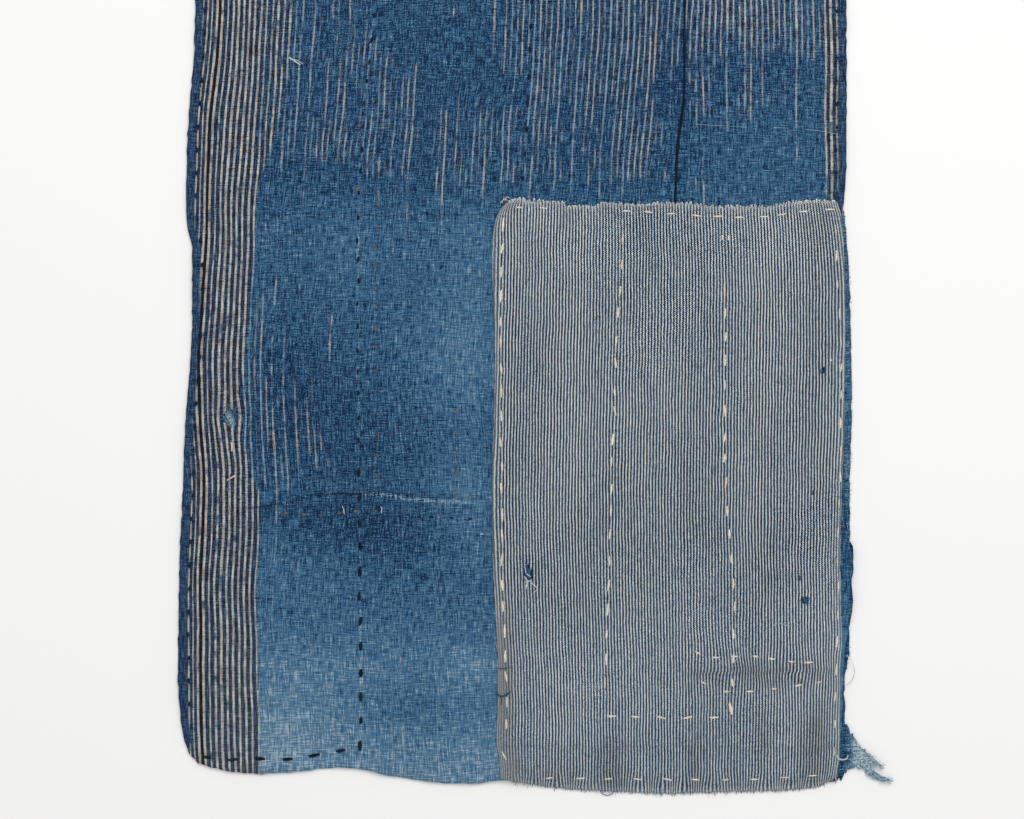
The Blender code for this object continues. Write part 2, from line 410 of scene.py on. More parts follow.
# (path, pitch, length, width, unevenness)
DARK_ROWS = (
    (beside(GROUND.left, HEM_ROW, 240 + 0.4 * HEM_PITCH, -228), HEM_PITCH, 3.0, 1.1, 0.3),
    (beside(GROUND.right, -HEM_ROW, 240 + 0.4 * HEM_PITCH, 60), HEM_PITCH, 2.8, 1.0, 0.3),
    ([(-168, 243.6), (-110, 244.4), (-10, 243), (80, 244), (157, 243.4)], 11.5, 5.0, 1.5, 1.0),
    ([(-175.2, -230.4), (-160, -232.6), (-144, -231.9), (-128, -232.2), (-115, -230.4), (-99, -227.6)],
     14.0, 6.2, 1.8, 0.6),
    ([(-82, 240), (-83.2, 153), (-85.3, 131), (-87.9, 108.7), (-91, 63), (-91.5, 6), (-91, -76)],
     11.6, 3.4, 1.4, 1.6),
    ([(-91, -78.1), (-90, -186), (-90.5, -229)], 12.9, 5.4, 2.1, 0.8),
    ([(-1, 233.7), (-1.6, 148), (-3.3, 107), (-4.4, 80), (-6.8, 62)], 13.3, 3.8, 1.6, 0.8),
    ([(75.5, 92), (73.6, 62)], 17.0, 5.4, 1.8, 1.0),
    ([(-73.5, -106), (-50, -106.5), (-28, -107.6)], 9.2, 2.6, 1.1, 1.2),
)
BROWN_ROWS = (
    ([(-81.8, 138), (-82.1, 115), (-86.3, 91.7), (-86, 70)], 11.8, 2.2, 0.9, 1.2),
    ([(-80.6, 60), (-82, 6), (-80.8, -88)], 10.8, 2.6, 1.1, 1.6),
    ([(-39.5, -48), (-40.6, -104)], 10.4, 2.8, 1.1, 1.4),
    ([(-133, -104), (-113.7, -105.7), (-105, -105.7), (-98, -103.6), (-76, -103.5)], 9.4, 2.6, 1.5, 1.6),
)
CREAM_ROWS = (
    # the top edge, which has a gap where the thread has gone
    ([(-12.4, 54.2), (8, 53.8)], 12.1, 4.2, 0.9, 0.4),
    ([(44, 52.4), (61, 51.6), (82, 50), (107, 49), (120, 49.4), (142, 52.2), (156, 53.2)],
     11.6, 5.6, 0.9, 0.8),
    ([(-16.4, 50), (-17.2, 30), (-17.2, 0), (-17, -85), (-16.2, -140), (-14.4, -190), (-14, -226)],
     12.4, 7.2, 1.2, 1.3),
    ([(-16.6, -227.2), (-13, -234)], 8.6, 7.0, 0.8, 0.2),
    ([(46.8, 42), (43.7, 6), (40.6, -73), (39.2, -129), (36.2, -204)], 12.8, 6.6, 1.1, 1.3),
    ([(34.4, -209.6), (60, -210.3), (97, -210.5)], 13.3, 6.4, 0.95, 0.5),
    ([(99.3, 17.7), (99.3, -85), (101.4, -115), (104, -150), (103.4, -184), (102.9, -202)],
     12.8, 6.4, 1.1, 1.3),
    ([(101.4, -202.6), (103.6, -210.2)], 8.7, 7.4, 1.9, 0.1),
    ([(81, -175.6), (93, -179.4), (112, -178.4), (123, -180), (133, -181.5), (147, -182)],
     9.9, 4.3, 0.9, 0.7),
    ([(84, -190.6), (99, -197), (113, -197), (125, -195.6), (151, -191.6)], 12.2, 3.9, 0.85, 0.8),
    ([(155.4, 47.7), (156.8, 34), (158.2, 4), (159.6, -20), (159, -50), (158.7, -92), (157.7, -133),
      (157.8, -150), (156.8, -187), (156.2, -201), (156.4, -215), (155.8, -229)], 14.2, 6.0, 0.85, 0.8),
    ([(2, -241.8), (60, -242.5), (110, -242.9), (150, -240.2)], 15.2, 4.8, 0.85, 0.5),
)
print(len(DARK_ROWS) + len(BROWN_ROWS) + len(CREAM_ROWS), "rows of stitches")

# %% [markdown]
# ## How the layers lie
# The cloth lies flat, so its relief is a millimetre or two: swells between the rows, a shallow gutter
# along each row, sharp creases where a tuck was once pressed, and the fine unevenness of any washed
# cotton. One function gives the top of the striped cloth, and the patch rides on it.

# %% Folds and creases, in millimetres
UNDERSIDE = 0.08  # from the surface to whatever rests on it
BACKING_TOP = 0.75
GROUND_TOP = 1.75
CLOTH = 0.6  # thickness of a layer
LAYER_GAP = 0.12
WAVES = 14  # sine waves that make up an unevenness

# where the cloth stays creased: across its lower third, as y at x, and down a tuck, as x at y
fold_line = smooth((
    (-148, -101.9), (-126, -98.8), (-113, -94.8), (-87, -94.4), (-77, -95.2), (-70, -96.5), (-55, -98),
    (-40, -98.8), (-20, -99),
))
tuck_line = smooth(((56, 73.3), (84, 74.4), (115, 78), (250, 78.6)))

# (start, end, half width, height)
GROUND_FOLDS = (
    ((-132, 225), (-134, -210), 24, 0.9),
    ((-54, 225), (-56, -215), 20, 1.1),
    ((36, 225), (38, 86), 21, 1.0),
    ((120, 225), (122, 100), 20, 1.1),
    ((128, 84), (150, 62), 5, 0.8),
    ((-143, -103), (-96, -96), 5, 1.3),
    ((-96, -96), (-26, -99), 4.5, 1.2),
    ((-168, 34), (-166, -24), 9, 1.3),
    ((-170, -165), (-168, -212), 8, 0.8),
)
CREASES = (
    # pressed lines: narrow troughs
    ((79, 245), (79, 120), 1.6, -0.9),
    ((79, 120), (74, 58), 1.6, -0.9),
    ((-143.5, -101), (-106, -94.6), 1.2, -0.8),
    ((-106, -94.6), (-84, -94), 1.2, -0.8),
    ((-84, -94), (-28, -98.6), 1.2, -0.4),
    ((-114, -231.5), (-20, -238.5), 1.0, -0.35),
)
PATCH_FOLDS = (
    ((12, 34), (10, -222), 15, 0.7),
    ((72, 34), (70, -205), 17, 0.8),
    ((130, 20), (130, -162), 15, 0.7),
    ((133, 55), (138, 36), 2.6, 0.8),
    ((142, 56), (147, 34), 2.6, 0.7),
    ((152, 55), (155, 36), 2.4, 0.7),
    ((84, -186), (150, -187.5), 3.4, 1.1),
    ((40, -226), (44, -247), 5, 0.8),
    ((88, -226), (90, -247), 5, 0.7),
    ((143, -210), (150, -243), 5, 0.9),
)
print(len(GROUND_FOLDS) + len(CREASES) + len(PATCH_FOLDS), "folds and creases")

# %% [markdown]
# ## From folds to heights
# Each fold is a ridge with a bell-shaped section along a straight line, and each row of stitches a trough
# of the same shape. A sum of a few slow waves in all directions stands for the cloth's own unevenness.
# Sculpting could give this too, but a formula lets the stitches find the cloth's height anywhere.

# %% Heights of the layers
def distance_to(start, end, x, y):
    """How far points are from a straight line between two places."""
    (ax, ay), (bx, by) = start, end
    run = (bx - ax, by - ay)
    along = ((x - ax) * run[0] + (y - ay) * run[1]) / (run[0] ** 2 + run[1] ** 2)
    along = np.clip(along, 0, 1)
    return np.hypot(x - ax - along * run[0], y - ay - along * run[1])


def raised(folds, x, y):
    """The height that swells and creases add, each (start, end, half width, height)."""
    height = np.zeros_like(x)
    for start, end, half_width, rise in folds:
        height += rise * np.exp(-((distance_to(start, end, x, y) / half_width) ** 2))
    return height


def gutter(rows, x, y, depth, half_width):
    """The shallow trough that a pulled thread leaves along each row."""
    nearest = np.full_like(x, 1e3)
    for path, *_ in rows:
        for start, end in zip(path, path[1:]):
            nearest = np.minimum(nearest, distance_to(start, end, x, y))
    return -depth * np.exp(-((nearest / half_width) ** 2))


def uneven(x, y, size, seed):
    """Smooth unevenness of about one unit, with swells of about the given size."""
    draw = np.random.default_rng(seed)
    turn, phase = draw.uniform(0, math.tau, (2, WAVES))
    pace = math.tau / (size * draw.uniform(0.7, 1.9, WAVES))
    total = sum(
        np.sin(p * (x * math.cos(t) + y * math.sin(t)) + f) for p, t, f in zip(pace, turn, phase)
    )
    return total * math.sqrt(2 / WAVES)


def ground_top(x, y):
    """The face of the striped cloth, away from its edges."""
    soft = 0.35 + 0.16 * uneven(x, y, 26, 1) + 0.09 * uneven(x, y, 9, 2)
    relief = soft + raised(GROUND_FOLDS, x, y) + raised(CREASES, x, y)
    relief += gutter(DARK_ROWS, x, y, 0.4, 2.6) + gutter(BROWN_ROWS, x, y, 0.2, 2.0)
    return GROUND_TOP + np.maximum(relief, -0.25)


def patch_top(x, y):
    """The face of the patch, which rides on the striped cloth and drops past its lower edge."""
    soft = 0.45 + 0.1 * uneven(x, y, 19, 3) + 0.07 * uneven(x, y, 7, 4)
    relief = soft + raised(PATCH_FOLDS, x, y) + gutter(CREAM_ROWS, x, y, 0.45, 2.4)
    over = np.clip((GROUND.bottom(x) + 1.5 - y) / 4.5, 0, 1)
    under = ground_top(x, y) * (1 - over) + 0.2 * over
    return under + LAYER_GAP + CLOTH + np.maximum(relief, 0) * (1 - over)


def backing_top(x, y):
    return BACKING_TOP + 0.05 * uneven(x, y, 15, 5)


xs, ys = np.mgrid[-150:150:9, -200:200:9].astype(float)
print("the patch lies up to", round(float(patch_top(xs, ys).max()), 2), "mm above the surface")

# %% [markdown]
# ## How a sheet is made
# Each layer starts as a grid primitive with a vertex wherever a grid line is wanted: wide apart over
# plain cloth, close together at edges, creases and the borders of a stripe pattern. A hole is faces
# removed, with its rim drawn onto a ragged oval. The grid is then extruded, so that it is one closed
# sheet with walls, and its two sides are laid at their heights.

# %% Grid lines and grids
def lines(length, cell, *dense):
    """Places of grid lines, a cell apart, or closer in the ranges of (from, to, cell)."""
    places = [0.0]
    while places[-1] < length:
        cells = [cell] + [close for low, high, close in dense if low <= places[-1] < high]
        places.append(places[-1] + min(cells))
    return np.array(places) / places[-1]


def edit(*steps):
    """Runs operators on the active object in edit mode, all of it selected."""
    bpy.ops.object.mode_set(mode="EDIT")
    bpy.ops.mesh.select_all(action="SELECT")
    for operator, settings in steps:
        operator(**settings)
    bpy.ops.object.mode_set(mode="OBJECT")


def places_of(mesh):
    """A mesh's vertices, in metres."""
    flat = np.empty(len(mesh.vertices) * 3, np.float32)
    mesh.vertices.foreach_get("co", flat)
    return flat.reshape(-1, 3).astype(float)


def flat_grid(name, columns, rows):
    """A grid primitive with its vertices' shares of the way across and along, from 0 to 1."""
    bpy.ops.object.select_all(action="DESELECT")
    size = {"x_subdivisions": len(columns) - 1, "y_subdivisions": len(rows) - 1, "size": 1}
    bpy.ops.mesh.primitive_grid_add(**size)
    piece = bpy.context.object
    piece.name = piece.data.name = name
    x, y, _ = places_of(piece.data).T
    u = columns[np.rint((x + 0.5) * (len(columns) - 1)).astype(int)]
    v = rows[np.rint((y + 0.5) * (len(rows) - 1)).astype(int)]
    return piece, u, v


print("a side of 100 mm in cells of 2.8 mm has", len(lines(100, 2.8)), "grid lines")

def set_places(piece, place):
    """Moves a piece's vertices to places in millimetres."""
    piece.data.vertices.foreach_set("co", (place * MM).astype(np.float32).ravel())
    piece.data.update()

# %% [markdown]
# ## Holes and thickness
# Wear left a few small holes. A boolean cut would leave long thin faces round them, so faces
# are deleted inside each oval and the vertices of the rim are moved onto it. Extruding the whole grid then
# gives the cloth its thickness, with walls at the edges and in the holes.

# %% Holes and closed sheets
def tear_out(piece, x, y, holes):
    """Lays a flat grid at x and y, without its faces in ragged ovals (x, y, half width, half height)."""
    mesh = piece.data
    corners = np.empty(len(mesh.polygons) * 4, int)
    mesh.polygons.foreach_get("vertices", corners)
    corners = corners.reshape(-1, 4)
    gone = np.zeros(len(corners), bool)
    for cx, cy, half_width, half_height in holes:
        ragged = 1 + 0.13 * uneven(x, y, 2.4, 11)
        reach = np.hypot((x - cx) / half_width, (y - cy) / half_height) / ragged
        inside = reach[corners].mean(1) < 1
        rim = np.intersect1d(corners[inside], corners[~inside])
        x[rim] = cx + (x[rim] - cx) / reach[rim]
        y[rim] = cy + (y[rim] - cy) / reach[rim]
        gone |= inside
    set_places(piece, np.stack((x, y, np.zeros_like(x)), 1))
    if gone.any():
        edit((bpy.ops.mesh.select_all, {"action": "DESELECT"}))
        mesh.polygons.foreach_set("select", gone)
        bpy.context.tool_settings.mesh_select_mode = (False, False, True)
        bpy.ops.object.mode_set(mode="EDIT")
        bpy.ops.mesh.delete(type="FACE")
        bpy.ops.object.mode_set(mode="OBJECT")


def lay(piece, top, bottom):
    """Closes a flat sheet between its top and its bottom, which are functions of x and y."""
    edit(
        (bpy.ops.mesh.extrude_region_move, {"TRANSFORM_OT_translate": {"value": (0, 0, -1)}}),
        (bpy.ops.mesh.select_all, {"action": "SELECT"}),
        (bpy.ops.mesh.normals_make_consistent, {"inside": False}),
    )
    place = places_of(piece.data) / MM
    x, y, z = place.T
    place[:, 2] = np.where(z > -0.5 / MM, top(x, y), bottom(x, y))
    set_places(piece, place)
    bpy.ops.object.shade_smooth()


def sheet(name, outline, columns, rows, top, bottom, wobble=0.0, holes=()):
    """A closed sheet of cloth inside an outline, whose edges wobble by about the given distance."""
    piece, u, v = flat_grid(name, columns, rows)
    x, y = outline.spread(u, v)
    x, y = x + wobble * uneven(x, y, 6, 21), y + wobble * uneven(x, y, 6, 22)
    tear_out(piece, x, y, holes)
    lay(piece, top, bottom)
    print(name, "has", sum(len(face.vertices) - 2 for face in piece.data.polygons), "triangles")
    return piece

# %% [markdown]
# ## Two maps and some measures
# A finish has to follow the threads of its cloth, which lean and bow where it was pulled. So a map
# named threads says where each point is on the flat cloth, counted in stripes across and millimetres
# along. Attributes carry what changes slowly: where the stripes survive, how faded the indigo is. A
# second map unrolls each sheet for baking: its face at full size and its underside small beside it.

# %% Maps for threads and baking
def per_corner(piece, values):
    """Values for each vertex as values for each face corner."""
    corners = np.empty(len(piece.data.loops), int)
    piece.data.loops.foreach_get("vertex_index", corners)
    return values[corners]


def set_map(piece, name, u, v):
    """Writes a UV map from values for each face corner."""
    layer = piece.data.uv_layers.get(name) or piece.data.uv_layers.new(name=name)
    layer.data.foreach_set("uv", np.stack((u, v), 1).astype(np.float32).ravel())


def set_measure(piece, name, values):
    """Writes a number for each vertex, which the finishes read by its name."""
    attribute = piece.data.attributes.new(name, "FLOAT", "POINT")
    attribute.data.foreach_set("value", values.astype(np.float32))


def bake_map(piece):
    """The map for baking: the face fills the height of the square, the underside lies beside it."""
    mesh = piece.data
    place = per_corner(piece, places_of(mesh)) / MM
    normal = np.empty(len(mesh.polygons) * 3)
    mesh.polygons.foreach_get("normal", normal)
    count = np.empty(len(mesh.polygons), int)
    mesh.polygons.foreach_get("loop_total", count)
    normal = np.repeat(normal.reshape(-1, 3), count, axis=0)
    low, high = place.min(0), place.max(0)
    depth = place[:, 2].max() - place[:, 2]
    wall = np.abs(normal[:, 2]) < 0.35
    x = place[:, 0] - low[0] + np.where(wall, normal[:, 0] * depth, 0)
    y = place[:, 1] - low[1] + np.where(wall, normal[:, 1] * depth, 0)
    scale = 0.97 / (high[1] - low[1])
    face_width = (high[0] - low[0]) * scale
    under = (normal[:, 2] < 0) & ~wall
    small = min(0.9, (0.97 - face_width) / face_width)
    u = np.where(under, 0.985 - face_width * small + x * scale * small, 0.015 + x * scale)
    v = np.where(under, 0.015 + y * scale * small, 0.015 + y * scale)
    set_map(piece, "OFBake", u, v)


print("each sheet gets the maps threads and OFBake")

# %% [markdown]
# ## Painting with boxes and spots
# Wear comes in areas with soft borders. They could be painted by hand as vertex colours, but a row of
# numbers for each area can be read, moved and weighed against the others, so boxes and spots do the job.

# %% Soft boxes and spots
def box_share(x, y, rows):
    """The strongest of soft boxes (x from, x to, y from, y to, strength, softness in x and in y)."""
    def ramp(value):
        value = np.clip(value, 0, 1)
        return value * value * (3 - 2 * value)

    best = np.zeros_like(x)
    for x0, x1, y0, y1, strength, dx, dy in rows:
        inside = ramp((x - x0) / dx + 0.5) * ramp((x1 - x) / dx + 0.5)
        inside *= ramp((y - y0) / dy + 0.5) * ramp((y1 - y) / dy + 0.5)
        best = np.maximum(best, strength * inside)
    return best


def spots(x, y, rows):
    """The sum of soft spots (x, y, reach in x, reach in y, amount)."""
    total = np.zeros_like(x)
    for cx, cy, reach_x, reach_y, amount in rows:
        total += amount * np.exp(-(((x - cx) / reach_x) ** 2) - ((y - cy) / reach_y) ** 2)
    return total


origin = np.zeros(1)
print("on its border a box has", box_share(origin, origin, [(0, 9, -9, 9, 1, 1, 1)])[0], "of its strength")

# %% [markdown]
# ## The striped cloth
# It was woven as one narrow loom width with beige stripes in its warp. Wear and washing took the beige
# away over most of it, so whole stripes are left only beside the left hem and, higher up, as thin
# broken lines. Its stripes lean with the pull of the hems, which `stripe_lean` holds, and wander a
# little round the holes.

# %% The striped cloth's stripes
STRIPE = 3.017  # millimetres from stripe to stripe
LEFT_STRIPE, CLOSE_STRIPES, FIRST_EVEN = -170.1, 2.3, 3
DARK_GAP = 2.55  # between which stripes the cloth is darkest

stripe_lean = smooth((
    (-240, -7.6), (-204, -8.4), (-160, -9.4), (-91, -7.6), (-35, -10.2), (2, -8.3), (77, -5.2),
    (152, 0), (250, 2.5),
))


def ground_stripe(x, y):
    """Which stripe a point is on, counted from the left hem."""
    pull = np.clip((88 - x) / 22, 0, 1)
    wander = 0.3 * uneven(x, y, 40, 31)
    wander += spots(x, y, ((-151, -54, 5, 9, -1.3), (-163.5, -54, 5, 9, 1.1), (-157, -80, 7, 8, -0.7)))
    across = x - stripe_lean(y) * pull + wander
    even = FIRST_EVEN + (across - LEFT_STRIPE - CLOSE_STRIPES * 2 - STRIPE * 1.05) / STRIPE
    close = (across - LEFT_STRIPE) / CLOSE_STRIPES
    return np.where(even < FIRST_EVEN - 1, close, even)


print("about", round(GROUND.width / STRIPE), "stripes across the loom width")

# %% [markdown]
# ## Turned edges
# A hem is the cloth folded under and sewn down, so it is thicker and its edge is round. It could be a
# second strip under the cloth, but only its roll shows, so the face swells beside the stitches, rounds off
# at the edge, and the underside goes down to the surface there. Edges that aren't turned just droop.

# %% The striped cloth's edges and its sheet
TURNED_ABOVE, TURNED_LEFT_OF = 56.0, -25.0  # the right and bottom edges are turned clear of the patch
FLAP_MIDDLE, FLAP_REACH, FLAP_INSET = -142.0, 22.0, 3.2  # a fold of the right edge shows past the patch
HEM_REACH = 20.0  # past this, points belong to an edge that isn't turned
FAR = 99.0  # stands for no turned edge


def from_edges(outline, x, y):
    """How far points are inside the nearest edge."""
    sides = x - outline.left(y), outline.right(y) - x, y - outline.bottom(x), outline.top(x) - y
    return np.min(sides, axis=0)


def hem_distance(x, y):
    """How far points of the striped cloth are from its nearest turned edge."""
    sides = np.minimum(x - GROUND.left(y), GROUND.top(x) - y)
    past_right = GROUND.right(y) - x
    flap = np.where(np.abs(y - FLAP_MIDDLE) < FLAP_REACH, past_right + FLAP_INSET, FAR)
    right = np.where(y > TURNED_ABOVE, past_right, flap)
    bottom = np.where(x < TURNED_LEFT_OF, y - GROUND.bottom(x), FAR)
    return np.minimum(sides, np.minimum(right, bottom))


def ground_face(x, y):
    """The top of the striped cloth, with its turned edges thick and rounded."""
    edge, raw = np.maximum(hem_distance(x, y), 0), np.maximum(from_edges(GROUND, x, y), 0)
    roll = 0.35 * np.exp(-((edge - 2.6) / 2.2) ** 2) - 1.0 * np.clip(1 - edge / 1.6, 0, 1) ** 2
    droop = -0.5 * np.clip(1 - raw / 5, 0, 1) ** 2
    return ground_top(x, y) + np.where(edge < HEM_REACH, roll, 0) + np.where(edge > HEM_REACH, droop, 0)


def ground_underside(x, y):
    """A layer below the face, and down at the surface where an edge is turned under."""
    turned = np.clip((HEM_ROW - hem_distance(x, y)) / 0.8, 0, 1)
    return (ground_face(x, y) - CLOTH) * (1 - turned) + UNDERSIDE * turned


GROUND_HOLES = ((-157.8, -55, 3.9, 4.8), (-157.9, -85.6, 1.0, 1.3))
ground = sheet(
    "striped_cloth",
    GROUND,
    lines(GROUND.width, 2.8, (0, 7, 0.8), (18, 53, 1.05), (246, 260, 1.1), (326, 340, 0.9)),
    lines(GROUND.length, 2.8, (0, 6, 0.9), (136, 152, 0.9), (172, 190, 1.2), (488, 500, 0.9)),
    ground_face,
    ground_underside,
    wobble=0.16,
    holes=GROUND_HOLES,
)

# %% [markdown]
# ## Where the stripes survive and how the indigo faded
# Four short tables map the cloth's condition. The first two follow the stripes: whole ones in a band
# whose right border moves, and thin remains elsewhere. The other two are how pale the indigo is. They were
# worked out from the cloth's mean tones, measured in squares of about 2 cm: first the change along the
# cloth, then the places that differ from it. All four were then corrected against such mean tones.

# %% The striped cloth's condition in tables
band_border = smooth((
    (-245, 12.5), (-96, 12.5), (-88, 11.6), (-60, 9.8), (-20, 10.6), (30, 11.4), (60, 11.5),
    (78, 12.5), (100, 14.2), (125, 15.5), (250, 15.6),
))
# (stripe from, stripe to, y from, y to, strength, softness across and along)
WORN_STRIPES = (
    (9, 14, -92, 12, 0.62, 2, 14),
    (12, 24, -92, -30, 0.5, 6, 18),
    (13, 25, 70, 160, 0.52, 3, 30),
    (16, 34, 74, 146, 0.56, 8, 22),
    (13, 25, 84, 178, 0.54, 3, 22),
    (14, 30, 130, 262, 0.54, 6, 20),
    (28, 42, 68, 126, 0.54, 10, 18),
    (38, 58, 62, 110, 0.52, 10, 16),
    (30, 50, 190, 262, 0.4, 10, 40),
    (48, 82, 66, 112, 0.54, 8, 14),
    (50, 82, 118, 262, 0.64, 5, 24),
    (56, 76, 100, 262, 0.68, 6, 30),
    (80, 108, 126, 262, 0.64, 3, 26),
    (85, 104, 138, 262, 0.84, 3, 22),
    (84, 97, 92, 150, 0.5, 5, 30),
    (96, 107, 98, 134, 0.42, 5, 20),
    (106.9, 113, 40, 262, 1.0, 0.8, 8),
)
fade_along = smooth((
    (-245, 0.74), (-222, 0.66), (-203, 0.56), (-184, 0.55), (-165, 0.45), (-147, 0.37), (-128, 0.3),
    (-109, 0.23), (-90, 0.26), (-72, 0.21), (-34, 0.29), (3, 0.33), (41, 0.37), (59, 0.28),
    (78, 0.19), (153, 0.2), (250, 0.2),
))
# (x, y, reach across, reach along, amount)
FADED_SPOTS = (
    (-40, -22, 26, 34, 0.2), (-38, -88, 22, 34, 0.17), (-128, -38, 26, 32, -0.17),
    (-92, -110, 24, 13, -0.13), (-66, -124, 22, 12, -0.07), (-118, -136, 24, 16, 0.08),
    (-128, -214, 24, 26, 0.16), (-62, -208, 24, 16, -0.12), (-34, -184, 14, 10, 0.14),
    (-108, -184, 30, 8, 0.06), (115, 78, 44, 24, 0.13), (64, 152, 60, 40, -0.02),
    (-30, 168, 60, 40, 0.02), (-90, -60, 8, 40, -0.05),
    (-140, 50, 16, 10, -0.02), (-134, 22, 12, 22, -0.05), (-96, 30, 10, 24, 0.06),
    (60, 72, 30, 12, -0.04), (150, 150, 10, 90, 0.04), (-138, -124, 10, 12, 0.12),
    (-31, 30, 12, 36, 0.09), (-31, -45, 12, 44, 0.06), (-30, -112, 13, 24, 0.13),
    (58, 130, 34, 40, -0.08), (0, 150, 18, 16, -0.07), (130, 98, 18, 24, 0.06),
    (-132, 130, 10, 60, -0.04),
)
print(len(WORN_STRIPES), "areas of worn stripes and", len(FADED_SPOTS), "faded or dark spots")

# %% [markdown]
# ## The condition on the mesh
# The finish reads the condition at every vertex: how much of a stripe is left, how faded the blue is, and
# how far the nearest crease, hem and long row are. Wear gathers beside the hems and the row, and along the
# creases the finish paints shade and a highlight.

# %% Measures on the striped cloth
# the long dark row, as x at y
row_line = smooth((
    (-229, -90.5), (-186, -90), (-82, -91), (6, -91.5), (63, -91), (108.7, -87.9), (131, -85.3),
    (153, -83.2), (240, -82),
))


NEAR_LINE = 12.0  # how far from a crease or a row its distance is kept


def near(distance):
    """A distance from a line, kept only near it."""
    return np.clip(distance, -NEAR_LINE, NEAR_LINE)


place = places_of(ground.data) / MM
x, y = place[:, 0], place[:, 1]
stripe = ground_stripe(x, y)
kept = box_share(stripe, y, WORN_STRIPES)
whole = np.clip((band_border(y) - stripe) / 1.1 + 0.5, 0, 1)
whole -= 0.16 * np.clip((stripe - 8.5) / 2, 0, 1) * np.clip((y - 70) / 30, 0, 1)
edge = hem_distance(x, y)
set_measure(ground, "stripes_left", np.maximum(kept, whole))
set_measure(ground, "fade", fade_along(y) + spots(x, y, FADED_SPOTS))
set_measure(ground, "hem", np.clip((5.0 - edge) / 1.2, 0, 1) * (y > -226))
set_measure(ground, "at_hem", np.clip(1 - np.abs(edge - HEM_ROW) / 2.2, 0, 1) * (np.abs(y) < 226))
set_measure(ground, "from_fold", near(y - fold_line(x)))
# where along the fold painted shade falls, and where its ridge gets a painted highlight with painted shade
# above it
set_measure(ground, "fold_dark", np.clip((x + 152) / 12, 0, 1) * np.clip((-74 - x) / 12, 0, 1))
set_measure(ground, "fold_light", np.clip((x + 96) / 12, 0, 1) * np.clip((-22 - x) / 10, 0, 1))
set_measure(ground, "from_row", near(x - row_line(y)))
set_measure(ground, "from_tuck", np.where(y > 50, near(x - tuck_line(y)), NEAR_LINE))
along = y + 0.5 * uneven(x, y, 60, 33)
set_map(ground, "threads", per_corner(ground, stripe), per_corner(ground, along))
bake_map(ground)
print("stripes are left on", f"{float(np.mean(np.maximum(kept, whole) > 0.5)):.0%}", "of its points")

# %% [markdown]
# ## The backing and its torn end
# The backing is a plain cloth that shows along the right edge. At its lower right corner a strip has
# torn away and hangs on, forked at its end. The strip is a few ribbons of sheet between stations along
# the tear, joined with the backing as one piece of cloth.

# %% The backing
backing = sheet(
    "backing_sheet",
    BACKING,
    lines(BACKING.width, 3.4, (300, 340, 1.3)),
    lines(BACKING.length, 3.4, (0, 30, 1.5)),
    backing_top,
    lambda x, y: np.full_like(x, UNDERSIDE),
    wobble=0.22,
)

# %% [markdown]
# ## The torn strip
# At the lower right the backing has torn along its threads and the strip has curled up, split into two
# thin prongs. Each is a ribbon: a grid whose long sides run through stations along the tear, with a ragged
# edge, and a height that lifts towards the tips.

# %% The torn strip and its prongs
TAIL = np.array((
    # upper edge and lower edge at stations along the tear
    ((158, -214), (157, -243.4)), ((163.4, -217.4), (160.6, -240.6)),
    ((166.5, -221.4), (163.2, -237.6)), ((169.6, -225.8), (166.5, -236.6)),
    ((172.4, -228.4), (169.4, -236.9)), ((174.5, -229.8), (171.6, -237.6)),
))
UPPER_PRONG = np.array((
    ((174, -229.4), (172.2, -234.4)), ((176.2, -231.2), (174.6, -234.8)),
    ((178.6, -233.6), (177.4, -236)), ((180.6, -235.6), (180, -236.8)),
))
LOWER_PRONG = np.array((
    ((173.2, -232.8), (171, -237.4)), ((175.4, -237), (173.4, -240.6)), ((178.4, -239.8), (176.8, -242.8)),
    ((181.4, -241.2), (180.6, -243.9)), ((184.6, -242.4), (184.4, -243.9)),
))


def ribbon(name, stations, seed):
    """A torn strip of closed sheet between the two edges of each station."""
    steps = 6 * (len(stations) - 1)
    piece, u, v = flat_grid(name, np.linspace(0, 1, 15), np.linspace(0, 1, steps + 1))
    at = v * (len(stations) - 1)
    upper, lower = ([np.interp(at, range(len(edge)), axis) for axis in edge.T] for edge in
                    (stations[:, 0], stations[:, 1]))
    torn = u + 0.05 * uneven(v * 40, u * 0, 2.5, seed) * (2 * u - 1)
    x, y = ((1 - torn) * first + torn * second for first, second in zip(upper, lower))
    tear_out(piece, x, y, ())
    lay(piece, torn_top, lambda x, y: torn_top(x, y) - 0.5)
    return piece


def torn_top(x, y):
    """The torn strip curls up towards its tips."""
    lift = np.clip((x - 162) / 14, 0, 1)
    return 0.85 + 0.9 * lift * (1 + 0.35 * uneven(x, y, 7, 41)) + 0.15 * uneven(x, y, 3, 42)


tails = [
    ribbon(name, stations, seed)
    for name, stations, seed in (
        ("tail", TAIL, 51), ("upper_prong", UPPER_PRONG, 52), ("lower_prong", LOWER_PRONG, 53)
    )
]

# %% [markdown]
# ## One piece of cloth
# On the real cloth the strip has no seam, so its ribbons are joined with the backing into one object that
# shares one finish. The strip is more faded than the rest, and the part just above it least.

# %% The backing and its strip joined
bpy.ops.object.select_all(action="DESELECT")
for piece in (*tails, backing):
    piece.select_set(True)
bpy.context.view_layer.objects.active = backing
bpy.ops.object.join()
place = places_of(backing.data) / MM
x, y = place[:, 0], place[:, 1]
torn_off = np.clip((x - 161) / 6, 0, 1) * (y < -214)
sheltered = np.clip((-150 - y) / 15, 0, 1) * (1 - torn_off)
stained = uneven(x, y, 14, 43) > 0.6
set_measure(backing, "fade", 0.46 + 0.3 * torn_off - 0.2 * sheltered - 0.12 * stained)
set_map(backing, "threads", per_corner(backing, x), per_corner(backing, y))
bake_map(backing)
print("the backing and its strip have", len(backing.data.vertices), "points")

# %% [markdown]
# ## The large patch
# A piece of finely striped cotton was cut from something else and sewn on with its top and bottom
# edges raw. Its left edge is turned under, so it is rounder there. Its stripes drift where the rows of
# stitches pull them.

# %% The patch's stripes
PATCH_STRIPE = 1.576
PICK = 1.0  # millimetres between the weft threads that show as steps in a stripe's border
